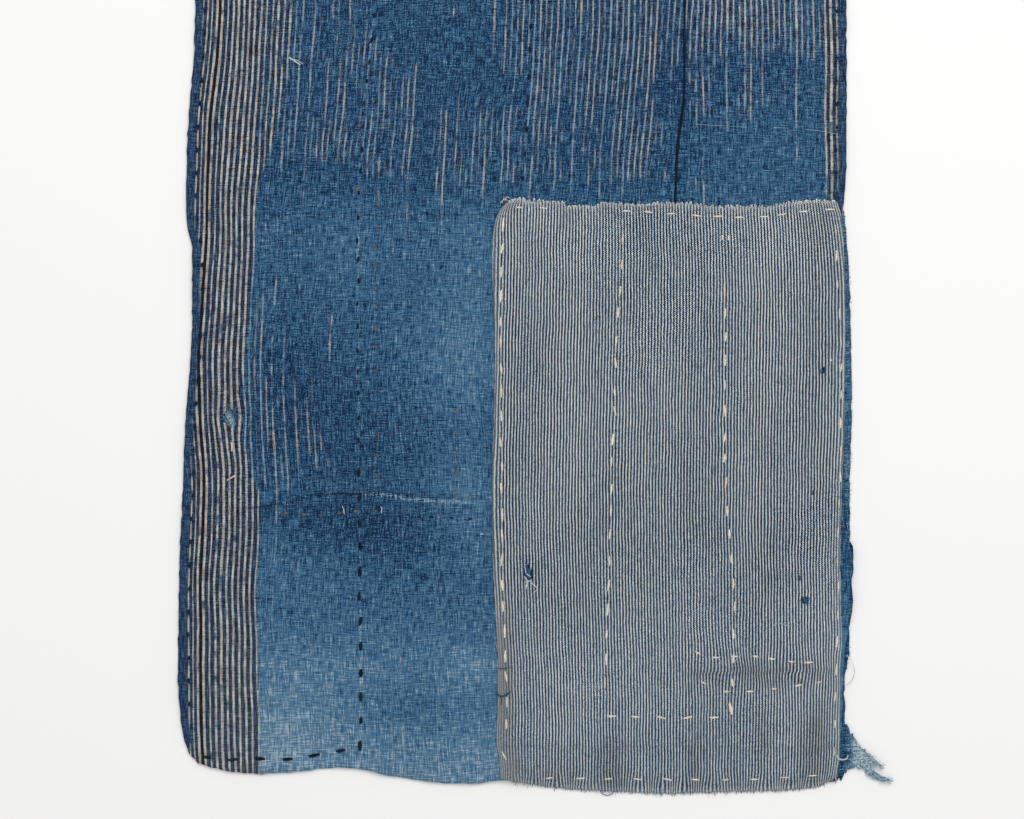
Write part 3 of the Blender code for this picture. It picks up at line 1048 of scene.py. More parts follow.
# how far the stripes have drifted along the patch's left and right sides, as x at y
drift_left = smooth((
    (-245, 0.9), (-205, 0.6), (-160, -1.0), (-98, -2.5), (-40, -1.7), (10, -0.6), (58, 0.4),
))
drift_right = smooth(((-245, 0.4), (-180, 1.2), (-100, 1.5), (6, 2.2), (40, 0.8), (58, -0.6)))


def patch_stripe(x, y):
    """Which of the patch's stripes a point is on."""
    share = np.clip((x + 18) / 178, 0, 1)
    drift = drift_left(y) * (1 - share) + drift_right(y) * share
    pulled = np.clip((x - 70) / 20, 0, 1) * np.exp(-(((y + 186) / 12) ** 2))
    tug = 0.8 * pulled * np.sin(x / 6.5 + y / 9)
    ends = 0.9 * np.clip((-239 - y) / 8, 0, 1) * np.sin(x / 2.6 + 2.2 * np.sin(x / 11))
    left, right = PATCH.left(y), PATCH.right(y)
    turned = (left + 20.8) * np.exp(-np.maximum(x - left, 0) / 1.9)
    turned += (right - 160.6) * np.exp(-np.maximum(right - x, 0) / 9)
    broken = 0.45 * pulled * (y > -187)
    wander = 0.1 * uneven(x, y, 30, 61) + 0.07 * uneven(x, y, 9, 64)
    return (x - drift - tug - ends - turned - broken + wander) / PATCH_STRIPE


print("the patch has", round(PATCH.width / PATCH_STRIPE), "stripes")

# %% [markdown]
# ## The patch's shape
# The patch rides on the striped cloth's relief with folds of its own, so its face is a function of that
# one. Its sides roll under and its raw ends curl a little.

# %% The patch's face and its sheet
def patch_face(x, y):
    """The patch's face with its sides rolled under and its raw ends a little curled."""
    turned = np.maximum(np.minimum(x - PATCH.left(y), PATCH.right(y) - x), 0)
    roll = 0.22 * np.exp(-((turned - 2.2) / 2.0) ** 2) - 0.5 * np.clip(1 - turned / 1.3, 0, 1) ** 2
    raw = np.maximum(np.minimum(PATCH.top(x) - y, y - PATCH.bottom(x)), 0)
    curl = 0.25 * uneven(x, y, 5, 62) * np.exp(-raw / 3)
    return patch_top(x, y) + roll + np.maximum(curl, -0.05)


def patch_underside(x, y):
    return patch_face(x, y) - CLOTH


PATCH_HOLES = (
    (-3.2, -135.4, 2.2, 4.2), (150.2, -30.6, 1.5, 1.9),
    (140.8, -149.6, 1.8, 1.8), (137.6, -137.8, 0.9, 1.1),
)
patch = sheet(
    "striped_patch",
    PATCH,
    lines(PATCH.width, 2.0, (0, 3, 0.8), (15, 21, 1.0), (155, 180, 1.1)),
    lines(PATCH.length, 2.0, (0, 3, 0.8), (50, 68, 1.1), (90, 116, 1.0), (210, 216, 1.0), (296, 304, 0.9)),
    patch_face,
    patch_underside,
    wobble=0.12,
    holes=PATCH_HOLES,
)

# %% [markdown]
# ## The patch's condition
# Brown darkening lies in the pleats at the patch's lower edge, beside its rows and along its tuck: partly
# dirt and partly painted shade in those folds. Its left edge is rubbed through at the fold. A pressed tuck
# and a pressed crease cross it, each kept as a distance in millimetres, along which the finish paints shade.

# %% Grime, painted fold shade and rubbed edges
# (x, y, reach across, reach along, amount) of brown darkening: grime, and painted shade in the pleats and
# along the tuck
GRIME_AND_FOLD_SHADE = (
    (40, -236, 7, 14, 0.8), (84, -234, 4, 16, 0.7), (144, -230, 8, 16, 0.8), (10, -240, 14, 8, 0.4),
    (-14, -190, 6, 40, 0.6), (118, -190, 36, 7, 0.5), (-12, 50, 8, 8, 0.4), (148, 46, 12, 10, 0.4),
    (96, -214, 10, 20, 0.3), (70, -244, 70, 6, 0.3), (119, -222, 4, 16, 0.7), (148, -216, 4, 10, 0.8),
)
# (x, y, reach across, reach along, amount) of threads rubbed through
RUBBED = (
    (-16.5, -172, 3.4, 20, 0.8), (-15.5, -205, 3.6, 22, 1.0), (-12, -236, 6, 8, 0.9), (16, 49, 2, 9, 0.5),
)
place = places_of(patch.data) / MM
x, y = place[:, 0], place[:, 1]
set_measure(patch, "grime", np.clip(spots(x, y, GRIME_AND_FOLD_SHADE), 0, 1))
set_measure(patch, "from_patch_tuck", np.where(x > 80, near(y + 187 + (150 - x) * 0.02), NEAR_LINE))
set_measure(patch, "from_patch_crease", near(y + 225.4 + 0.004 * (x - 60)))
set_measure(patch, "rubbed", np.clip(spots(x, y, RUBBED), 0, 1))
set_measure(patch, "worn_edge", np.exp(-np.maximum(from_edges(PATCH, x, y), 0) / 1.6))
along = y + 0.6 * uneven(x, y, 40, 63)
set_map(patch, "threads", per_corner(patch, patch_stripe(x, y)), per_corner(patch, along))
bake_map(patch)
print(len(GRIME_AND_FOLD_SHADE), "spots of grime and", len(RUBBED), "rubbed places on the patch")

# %% [markdown]
# ## Cotton
# Plain weave shows as fine streaks: each thread has its own darkness, and it changes slowly along the
# thread. Two stretched noises, one along the warp and one along the weft, give that, a rounder one gives
# the specks where threads cross, and two sparse ones add slubs and rubbed yarns. A ramp of blues turns
# faded and unfaded cotton into colour.

# %% Plain weave
THREAD = 0.62  # millimetres from thread to thread
INDIGO = (
    (0.0, srgb(16, 36, 62)), (0.11, srgb(28, 58, 90)), (0.22, srgb(40, 77, 109)),
    (0.36, srgb(50, 92, 123)), (0.5, srgb(61, 105, 136)), (0.62, srgb(78, 115, 138)),
    (0.72, srgb(92, 125, 146)), (0.85, srgb(112, 139, 155)), (1.0, srgb(156, 174, 184)),
)


def weave(finish, across, along, warp=1.9, weft=1.4, speck=1.9):
    """How much lighter each place is than its cotton's own tone, and the height of its threads."""
    warp_streaks = finish.noise(finish.join(across * 1.5, along * 0.15), detail=2.5, rough=0.5)
    weft_streaks = finish.noise(finish.join(across * 0.17, along * 1.5, 7.0), detail=2.5, rough=0.5)
    specks = finish.noise(finish.join(across * 1.5, along * 1.5, 3.0), detail=2.0, rough=0.6)
    slubs = finish.noise(finish.join(across * 0.16, along * 1.5, 11.0), detail=1.0).above(0.64, 0.78)
    rubbed = finish.noise(finish.join(across * 1.5, along * 0.16, 13.0), detail=1.0).above(0.64, 0.78)
    tone = (warp_streaks - 0.5) * warp + (weft_streaks - 0.5) * weft + (specks - 0.5) * speck
    over = (across * (1 / THREAD)).wave() * (along * (1 / THREAD)).wave()
    tone = tone + slubs * 0.22 + rubbed * 0.2 - 0.02
    return tone, over * 0.35 + warp_streaks + weft_streaks + specks * 0.5


print(len(INDIGO), "blues, woven with", round(10 / THREAD), "threads to the centimetre")

# %% [markdown]
# ## Striped cotton
# A stripe is the middle of each whole number across the threads map. What is left of it comes from the
# condition map, with a long thin noise of its own for every stripe, so that stripes fade out at
# different places, as worn yarns do. Whole stripes are wide and pale, remains are thin and dull. Beside
# the hems the stitches pinch a stripe to a row of lenses, and the finish paints shade into its creases.

# %% The striped finish
def striped_finish():
    """Indigo with beige stripes, each as whole as the condition map and its own luck leave it."""
    finish = Finish("striped_indigo_cotton", roughness=0.92)
    stripe, along = finish.threads()
    across = stripe * STRIPE
    fade = finish.attribute("fade")
    tone, height = weave(finish, across, along, 1.9 - fade * 0.6, 1.5 - fade * 0.4, 2.7 - fade * 3.2)
    left, hem = finish.attribute("stripes_left"), finish.attribute("hem")
    number = (stripe + 0.5).floor()
    luck = finish.chance(number) - 0.5
    sway = finish.noise(finish.join(number * 5.3, along * 0.03, 1.0), detail=1.0) - 0.5
    breaks = finish.noise(finish.join(number * 7.31, along * 0.04, 3.0), detail=3.0, rough=0.6) - 0.5
    there = (left + (breaks * 2.4 + luck * 0.5) * (1.12 - left)).above(0.36, 0.7)
    whole = (left + (breaks * 2.2 + luck * 0.4) * (1.1 - left)).above(0.7, 0.96)
    banded = 1 - stripe.above(28, 34) * (1 - stripe.above(104, 107))
    aged = finish.noise(finish.join(number * 3.7, along * 0.12, 9.0))
    fuzz = finish.noise(finish.join(stripe * 6, along * 1.3, 5.0), detail=2.0) - 0.5
    lens = finish.attribute("at_hem") * (1 - (along * (0.5 / HEM_PITCH)).wave().abs().above(0.0, 0.75))
    half = 0.12 + whole * (0.045 + luck * 0.07) + luck * 0.03 - lens * 0.2
    off = (stripe - number + sway * 0.3).abs() + fuzz * 0.2
    beige_share = (1 - off.above(half - 0.06, half + 0.07)) * there * (1 - hem)
    gone = finish.noise(finish.join(number * 4.1, along * 0.09, 27.0), detail=2.0).above(0.6, 0.68)
    beige_share = beige_share * (0.72 + whole * 0.26) * (1 - gone * 0.7)

    ghost = (1 - off.above(0.1, 0.32)) * (luck + 0.55) * (1 - whole) * (1 - hem)
    row = finish.attribute("from_row")
    rubbed = (1 - row.abs().above(0.2, 1.1)) * (aged - 0.3)
    picks = finish.noise(finish.join(across * 0.045, along * 1.5, 29.0), detail=1.0).above(0.6, 0.7)
    picks = picks * fade.above(0.3, 0.62) * 0.2
    indigo = finish.ramp(fade + tone + ghost * 0.09 + rubbed * 0.7 + picks - 0.02, INDIGO)
    hue = finish.noise(finish.join(across * 1.1, along * 0.8, 19.0), detail=2.0)
    indigo = finish.mix(hue.above(0.42, 0.7) * 0.4, indigo, srgb(68, 92, 142), "COLOR")
    navy_share = (whole * (banded * 0.7 + 0.15)).math("MAXIMUM", hem)
    navy = finish.ramp(tone * 0.8 + hem * 0.12 + 0.41, (
        (0.0, srgb(8, 18, 38)), (0.45, srgb(26, 46, 75)), (1.0, srgb(84, 114, 144)),
    ))
    gap = (1 - (stripe - DARK_GAP).abs().above(0.12, 0.4)) * whole * 0.8
    ground_colour = finish.mix(gap, finish.mix(navy_share, indigo, navy), srgb(8, 14, 24))
    beige = finish.mix(aged.above(0.35, 0.7), srgb(200, 191, 170), srgb(162, 143, 127))
    cooler = finish.chance(number + 0.25).above(0.35, 0.8)
    remains = finish.mix(cooler, srgb(190, 176, 160), srgb(154, 168, 176))
    yarn = finish.mix(whole.above(0.0, 0.5), remains, beige)
    yarn = finish.mix((0.22 - tone).above(0.0, 0.9), yarn, srgb(76, 80, 88))
    cloth = finish.mix(beige_share, ground_colour, yarn)
    return shade_creases(finish, cloth, tone, height)

# %% [markdown]
# ## Creases in the indigo
# Where the tuck and the fold were pressed, the finish paints shade: a dark line along each valley and a
# band of shade beside the fold. On the fold's ridge it paints a pale line, partly wear and partly a painted
# highlight. Lines drawn as geometry would be too sharp, so the finish draws them from the distance to each
# crease, broken up by a noise so that they come and go.

# %% Creases and the striped cloth finished
def shade_creases(finish, cloth, tone, height):
    """Paints shade along the creases and a pale worn and lit line on the fold's ridge, and adds the cloth's
    height.
    """
    fold, tuck = finish.attribute("from_fold"), finish.attribute("from_tuck")
    broken = finish.noise(finish.node("ShaderNodeTexCoord", {}, out=3), scale=55.0)
    dark, light = finish.attribute("fold_dark"), finish.attribute("fold_light")
    # painted shade: a dark line along the fold's valley, broken by noise
    line = (1 - fold.abs().above(0.2, 1.1)) * dark * (broken - tone * 0.5).above(0.1, 0.5) * 0.75
    shade = fold.above(-9, -0.5) * (1 - fold.above(-0.5, 0.6)) * dark * 0.1
    shade = shade + fold.above(0.8, 1.8) * fold.above(6, 1.8) * light * 0.22
    # painted shade: a dark line along the tuck's valley
    tuck_shade_line = (1 - (tuck.abs() - broken * 1.1).above(0.0, 0.5)) * 0.92
    painted_crease_shade = line.math("MAXIMUM", tuck_shade_line).math("MAXIMUM", shade)
    # a pale line on the fold's ridge: partly wear, partly a painted highlight
    worn_and_lit_ridge = (fold - 0.1).abs().above(1.7, 0.1) * light * (tone + broken).above(0.3, 0.9)
    cloth = finish.mix(worn_and_lit_ridge, cloth, srgb(140, 168, 186))
    # all the painted crease shade darkens the cloth towards a near-black blue
    finish.set(Base_Color=finish.mix(painted_crease_shade, cloth, srgb(10, 20, 36)))
    finish.bump(height, 0.35, 0.0004)
    return finish.material


ground.data.materials.clear()
ground.data.materials.append(striped_finish())
print("the striped finish has", len(ground.data.materials[0].node_tree.nodes), "nodes")

# %% [markdown]
# ## The backing's cotton
# The backing is the same weave with no stripes. Its torn strip is rubbed almost white, so a second noise
# lays bare places over the most faded parts.

# %% The backing's finish
def backing_finish():
    """Plain blue cotton, rubbed bare where it is most faded."""
    finish = Finish("plain_blue_cotton", roughness=0.94)
    across, along = finish.threads()
    fade = finish.attribute("fade")
    tone, height = weave(finish, across, along, warp=1.0, weft=2.1, speck=2.6)
    worn = finish.noise(finish.join(across * 0.9, along * 0.9, 23.0), detail=3.0, rough=0.6)
    indigo = finish.ramp(fade + tone, INDIGO)
    bare = worn.above(0.44, 0.62) * fade.above(0.5, 0.8)
    finish.set(Base_Color=finish.mix(bare, indigo, srgb(190, 205, 206)))
    finish.bump(height, 0.5, 0.0005)
    return finish.material


backing.data.materials.clear()
backing.data.materials.append(backing_finish())
print("the backing's finish has", len(backing.data.materials[0].node_tree.nodes), "nodes")

# %% [markdown]
# ## The patch's cotton
# White and dark blue yarns alternate in pairs. From afar they blend to grey, but each border steps from pick
# to pick and each stripe has its own brightness, which keeps the patch from looking printed.

# %% The patch's finish
def patch_finish():
    """Fine white and dark blue stripes, with grime, painted shade at the pleats and the pressed creases, and
    rubbed edges.
    """
    finish = Finish("fine_striped_cotton", roughness=0.9)
    stripe, along = finish.threads()
    across = stripe * PATCH_STRIPE
    tone, height = weave(finish, across, along, warp=1.2, weft=1.3, speck=3.2)
    washed = finish.noise(finish.join(across * 0.03, along * 0.012, 17.0), detail=3.0, rough=0.6) - 0.5
    slips = finish.noise(finish.join(across * 0.5, along * 1.1, 21.0), detail=2.0) - 0.5
    picks = (along * (1 / PICK)).wave()
    stepped = stripe + picks * 0.1 + slips * 0.42
    number = (stepped + 0.5).floor()
    luck = finish.chance(number) - 0.5
    fuzz = finish.noise(finish.join(stripe * 5, along * 1.4, 5.0), detail=2.0) - 0.5
    off = (stepped - number).abs() + fuzz * 0.14 + luck * 0.04 - washed * 0.06
    rubbed, faded = finish.attribute("rubbed"), along.above(-100, -225)
    white_share = (1 - off.above(0.13, 0.28)) * (1 - rubbed * 0.45)
    white = finish.ramp(tone * 0.7 + washed * 0.26 + faded * 0.02 + 0.52 + luck * 0.25 + picks * 0.06, (
        (0.1, srgb(112, 130, 144)), (0.5, srgb(184, 192, 194)), (0.9, srgb(224, 223, 214)),
    ))
    blue = finish.ramp(tone * 0.8 + washed * 0.26 + faded * 0.18 + 0.44, (
        (0.1, srgb(4, 14, 32)), (0.5, srgb(8, 38, 68)), (0.95, srgb(48, 88, 118)),
    ))
    cloth = finish.mix(white_share, blue, white)
    worn = finish.attribute("worn_edge") * (fuzz * 1.6 + 0.7)
    cloth = finish.mix(worn * 0.5, cloth, srgb(164, 168, 168))
    cloth = finish.mix(rubbed * (fuzz * 2 + 0.4), cloth, srgb(142, 144, 138))
    tuck, crease = finish.attribute("from_patch_tuck"), finish.attribute("from_patch_crease")
    # painted shade: dark lines along the tuck and the crease, with a band of shade beside each
    patch_crease_shade = (1 - tuck.abs().above(0.2, 1.0)) * 0.16 + tuck.above(0, 1) * tuck.above(9, 3) * 0.14
    patch_crease_shade = patch_crease_shade + (1 - crease.abs().above(0.2, 0.9)) * 0.1
    patch_crease_shade = patch_crease_shade + crease.above(-9, 0) * crease.above(0.4, 0) * 0.06
    # grime and painted shade in the folds darken the cloth towards a brown grey
    grime = finish.attribute("grime") * 0.36 + patch_crease_shade
    finish.set(Base_Color=finish.mix(grime, cloth, srgb(58, 54, 48)))
    finish.bump(height, 0.35, 0.0004)
    return finish.material


patch.data.materials.clear()
patch.data.materials.append(patch_finish())
print("the patch's finish has", len(patch.data.materials[0].node_tree.nodes), "nodes")

# %% [markdown]
# ## Thread
# Sewing thread is two plies twisted together. One ply is a circle extruded step by step along one turn
# of a helix, arched so that its ends dive into the cloth. Two plies make one stitch, which is modelled
# once, a unit long and about a unit wide, and copied to every place along the rows.

# %% One stitch
def strand(path, widths, sides):
    """One closed strand: a filled circle extruded along a path and resized on the way."""
    bpy.ops.object.select_all(action="DESELECT")
    start = {"location": path[0], "rotation": (0, math.pi / 2, 0)}
    bpy.ops.mesh.primitive_circle_add(vertices=sides, radius=widths[0] / 2, fill_type="NGON", **start)
    bpy.ops.object.transform_apply()
    piece = bpy.context.object
    bpy.ops.object.mode_set(mode="EDIT")
    bpy.ops.mesh.select_all(action="SELECT")
    for before, after, thin, thick in zip(path, path[1:], widths, widths[1:]):
        step = tuple(Vector(after) - Vector(before))
        bpy.ops.mesh.extrude_region_move(TRANSFORM_OT_translate={"value": step})
        bpy.ops.transform.resize(value=(thick / thin,) * 3, center_override=tuple(after))
    bpy.ops.mesh.select_all(action="SELECT")
    bpy.ops.mesh.normals_make_consistent(inside=False)
    bpy.ops.object.mode_set(mode="OBJECT")
    return piece


def taken(pieces):
    """The vertices and faces of template pieces as one shape, which are then removed."""
    places, faces = [], []
    for piece in pieces:
        start = sum(map(len, places))
        places.append(places_of(piece.data))
        faces += [[v + start for v in face.vertices] for face in piece.data.polygons]
        bpy.data.objects.remove(piece, do_unlink=True)
    return np.concatenate(places), faces


def ply(turn):
    """The path of one ply through a stitch that is one unit long and about one wide."""
    path, steps = [], len(PLY_WIDTHS) - 1
    for k in range(steps + 1):
        t = k / steps
        angle = math.tau * t + turn
        arch = 0.34 - 0.95 * abs(2 * t - 1) ** 3.2
        path.append((t - 0.5, 0.19 * math.cos(angle), arch + 0.17 * math.sin(angle)))
    return path


PLY_WIDTHS = [0.38, 0.54, *[0.62] * 7, 0.54, 0.38]
STITCH = taken([strand(ply(turn), PLY_WIDTHS, 6) for turn in (0, math.pi)])
print("one stitch has", len(STITCH[0]), "points")

# %% [markdown]
# ## Sewing the rows
# Each row is walked at its own pitch, with the small errors of a hand. The copies of a colour are
# joined into one mesh, because hundreds of separate stitches would be a burden to whoever reuses it.

# %% Copies along the rows
def walk(path, pitch, slip, draw):
    """Places and headings along a path, a pitch apart with some slip."""
    path = np.array(path, float)
    leg = np.hypot(*np.diff(path, axis=0).T)
    along = np.concatenate(([0], np.cumsum(leg)))
    at = np.arange(pitch * 0.4, along[-1], pitch)
    at = np.clip(at + draw.normal(0, slip * 0.6, len(at)), 0, along[-1])
    x, y = (np.interp(at, along, path[:, k]) for k in (0, 1))
    ahead = np.clip(at + 1, 0, along[-1])
    behind = np.clip(at - 1, 0, along[-1])
    dx, dy = (np.interp(ahead, along, line) - np.interp(behind, along, line) for line in path.T)
    return x, y, np.arctan2(dy, dx)


def copies(name, shape, places, turns, sizes, finish):
    """One mesh of many copies of a shape: places in mm, turns about Z, sizes along, across and up."""
    template, faces = shape
    points, polygons = [], []
    for (x, y, z), turn, size in zip(places, turns, sizes):
        start = len(points) * len(template)
        local = template * size
        cos, sin = math.cos(turn), math.sin(turn)
        across = np.stack((local[:, 0] * cos - local[:, 1] * sin, local[:, 0] * sin + local[:, 1] * cos), 1)
        points.append(np.column_stack((across + (x, y), local[:, 2] + z)) * MM)
        polygons += [[v + start for v in face] for face in faces]
    mesh = bpy.data.meshes.new(name)
    mesh.from_pydata(np.concatenate(points), [], polygons)
    mesh.materials.append(finish)
    mesh.shade_smooth()
    piece = bpy.data.objects.new(name, mesh)
    scene.collection.objects.link(piece)
    print(name, "has", len(places), "copies")
    return piece


print("the long dark row has", len(walk(*DARK_ROWS[4][:2], 0, np.random.default_rng(0))[0]), "stitches")

# %% [markdown]
# ## Three colours of thread
# Thread looks soft because its fibres catch the light in their own ways. A very fine noise mixes a light and
# a dark colour and feeds the bump too, which is enough at this size, where a fibre model would be a burden.

# %% Thread finishes and the sewing
def thread_finish(name, light, dark):
    """Thread whose fine fibres vary between a light and a dark colour."""
    finish = Finish(name, roughness=0.85)
    place = finish.node("ShaderNodeTexCoord", {}, out=3)
    fibres = finish.noise(place, scale=1600.0, detail=3.0)
    patches = finish.noise(place, scale=60.0, detail=1.0)
    finish.set(Base_Color=finish.mix((fibres * 0.6 + patches * 0.5).above(0.35, 0.75), dark, light))
    finish.bump(fibres, 0.4, 0.0002)
    return finish.material


def sew(name, rows, surface, seed, finish):
    """Stitches along rows, each with small errors of its place, turn and size."""
    draw = np.random.default_rng(seed)
    places, turns, sizes = [], [], []
    for path, pitch, length, width, slip in rows:
        for x, y, turn in zip(*walk(path, pitch, slip, draw)):
            z = float(surface(np.array([x]), np.array([y]))[0])
            places.append((x + draw.normal(0, 0.25), y, z))
            turns.append(turn + draw.normal(0, 0.09))
            size = length * draw.uniform(0.8, 1.15), width * draw.uniform(0.88, 1.12)
            sizes.append((size[0], size[1], size[1] * 0.8))
    return copies(name, STITCH, places, turns, sizes, finish)


CREAM_THREAD = thread_finish("cream_thread", srgb(236, 228, 212), srgb(198, 184, 164))
DARK_THREAD = thread_finish("dark_thread", srgb(32, 44, 62), srgb(14, 20, 32))
BROWN_THREAD = thread_finish("brown_thread", srgb(132, 110, 92), srgb(54, 50, 54))
stitches = [
    sew("dark_stitches", DARK_ROWS, ground_face, 71, DARK_THREAD),
    sew("brown_stitches", BROWN_ROWS, ground_face, 72, BROWN_THREAD),
    sew("cream_stitches", CREAM_ROWS, patch_face, 73, CREAM_THREAD),
]

# %% [markdown]
# ## Raw edges
# The patch's top and bottom edges were never turned, so the ends of its warp yarns stand out. Both
# colours make a short fringe, and at the top the white yarns also curl over as small hooks. One fibre,
# extruded like a ply, and one hook, a tube on a curve, are copied along the edges.

# %% Fibres and hooks
def tube(name, path, width):
    """A round thread on a smooth curve through places, as a mesh object."""
    path = np.array(path, float)
    at = np.concatenate(([0], np.cumsum(np.linalg.norm(np.diff(path, axis=0), axis=1))))
    steps = np.linspace(0, at[-1], 3 * len(path))
    points = np.stack([smooth(np.stack((at, column), 1))(steps) for column in path.T], 1)
    curve = bpy.data.curves.new(name, "CURVE")
    curve.dimensions, curve.use_fill_caps = "3D", True
    curve.bevel_depth, curve.bevel_resolution = width / 2, 1
    spline = curve.splines.new("POLY")
    spline.points.add(len(points) - 1)
    for point, place in zip(spline.points, points):
        point.co = (*place, 1)
    piece = bpy.data.objects.new(name, curve)
    scene.collection.objects.link(piece)
    bpy.ops.object.select_all(action="DESELECT")
    piece.select_set(True)
    bpy.context.view_layer.objects.active = piece
    bpy.ops.object.convert(target="MESH")
    return bpy.context.object


def bent(steps):
    """The path of a fibre one unit long, which bends to its side and waves a little."""
    return [(k / steps, 0.35 * (k / steps) ** 2, 0.12 * math.sin(3 * k / steps)) for k in range(steps + 1)]


FIBRE_WIDTHS = [1.0, 0.95, 0.85, 0.75, 0.6, 0.35]
HOOK_PATH = [(0, 0, 0), (0.6, 0, 0.3), (0.95, 0.25, 0.4), (0.85, 0.6, 0.2), (0.4, 0.7, -0.3)]
FIBRE = taken([strand(bent(len(FIBRE_WIDTHS) - 1), FIBRE_WIDTHS, 5)])
HOOK = taken([tube("hook", HOOK_PATH, 0.42)])
print("a fibre has", len(FIBRE[0]), "points and a hook", len(HOOK[0]))

# %% [markdown]
# ## The fringes
# There is a yarn's end for every stripe, so the fibres stand at the stripes' pitch, white and blue in turn,
# with their own lengths and headings. Hair particles could do this, but copies of one mesh export as they
# are.

# %% Fringes at the raw edges
def along_edge(edge_of, x, heading, inset):
    """Places just inside the patch's top or bottom edge."""
    y = edge_of(x) - inset * math.sin(heading)
    return x, y, patch_face(x, y)


def fringe(name, edge_of, x, heading, length, drop, seed, finish, shape=FIBRE, width=0.42):
    """Fibres along an edge at the places x, which point along a heading and sink by drop."""
    draw = np.random.default_rng(seed)
    count = len(x)
    x, y, z = along_edge(edge_of, x, heading, 0.3 if shape is FIBRE else 0.9)
    turn = heading + draw.normal(0, 0.32, count)
    long = length * draw.lognormal(0, 0.42 if shape is FIBRE else 0.2, count)
    side = np.sign(uneven(x, y, 12, seed) + draw.normal(0, 0.5, count))
    side = side * width * draw.uniform(0.7, 1.2, count)
    x = x + draw.normal(0, 0.16, count)
    z = z - 0.3 - drop * draw.uniform(0, 1, count)
    sizes = np.column_stack((long, side, np.full(count, width)))
    return copies(name, shape, np.column_stack((x, y, z)), turn, sizes, finish)


WHITE_FIBRE = thread_finish("white_fibre", srgb(226, 226, 220), srgb(160, 168, 172))
BLUE_FIBRE = thread_finish("blue_fibre", srgb(70, 104, 142), srgb(24, 44, 76))
PALE_FIBRE = thread_finish("pale_fibre", srgb(184, 202, 200), srgb(112, 144, 158))
SOFT_FIBRE = thread_finish("soft_blue_fibre", srgb(92, 132, 168), srgb(40, 78, 118))
UPWARDS, DOWNWARDS = math.pi / 2, -math.pi / 2
fringes = []
for name, finish, shift, seed in (("white", WHITE_FIBRE, 0.0, 81), ("blue", BLUE_FIBRE, 0.5, 91)):
    stripes = np.arange(-9, 100) + shift
    x = np.concatenate((stripes, stripes + 0.16)) * PATCH_STRIPE
    x = x[(x > -13) & (x < 157)]
    top, bottom = f"{name}_top_fringe", f"{name}_bottom_fringe"
    fringes.append(fringe(top, PATCH.top, x, UPWARDS, 0.8, 0.0, seed, finish))
    fringes.append(fringe(bottom, PATCH.bottom, x, DOWNWARDS, 1.05, 0.3, seed + 1, finish))
x = np.arange(-8, 100) * PATCH_STRIPE
fringes.append(fringe("white_hooks", PATCH.top, x, UPWARDS, 1.5, -0.3, 95, WHITE_FIBRE, HOOK, 1.05))

# %% [markdown]
# ## Loose threads and tufts
# Old cloth sheds. A few ends have worked loose at the edges and holes, each a tube on its own curve,
# and tufts of fine fibres stand where the cloth tore: along the backing's edge, at the tips of its
# torn strip, and over the hole in the striped cloth, where a pale scrap shows.

# %% Loose threads, in millimetres
def on_floor(x, y):
    """The height of a thread that lies beside the cloth."""
    return np.full_like(x, 0.2)


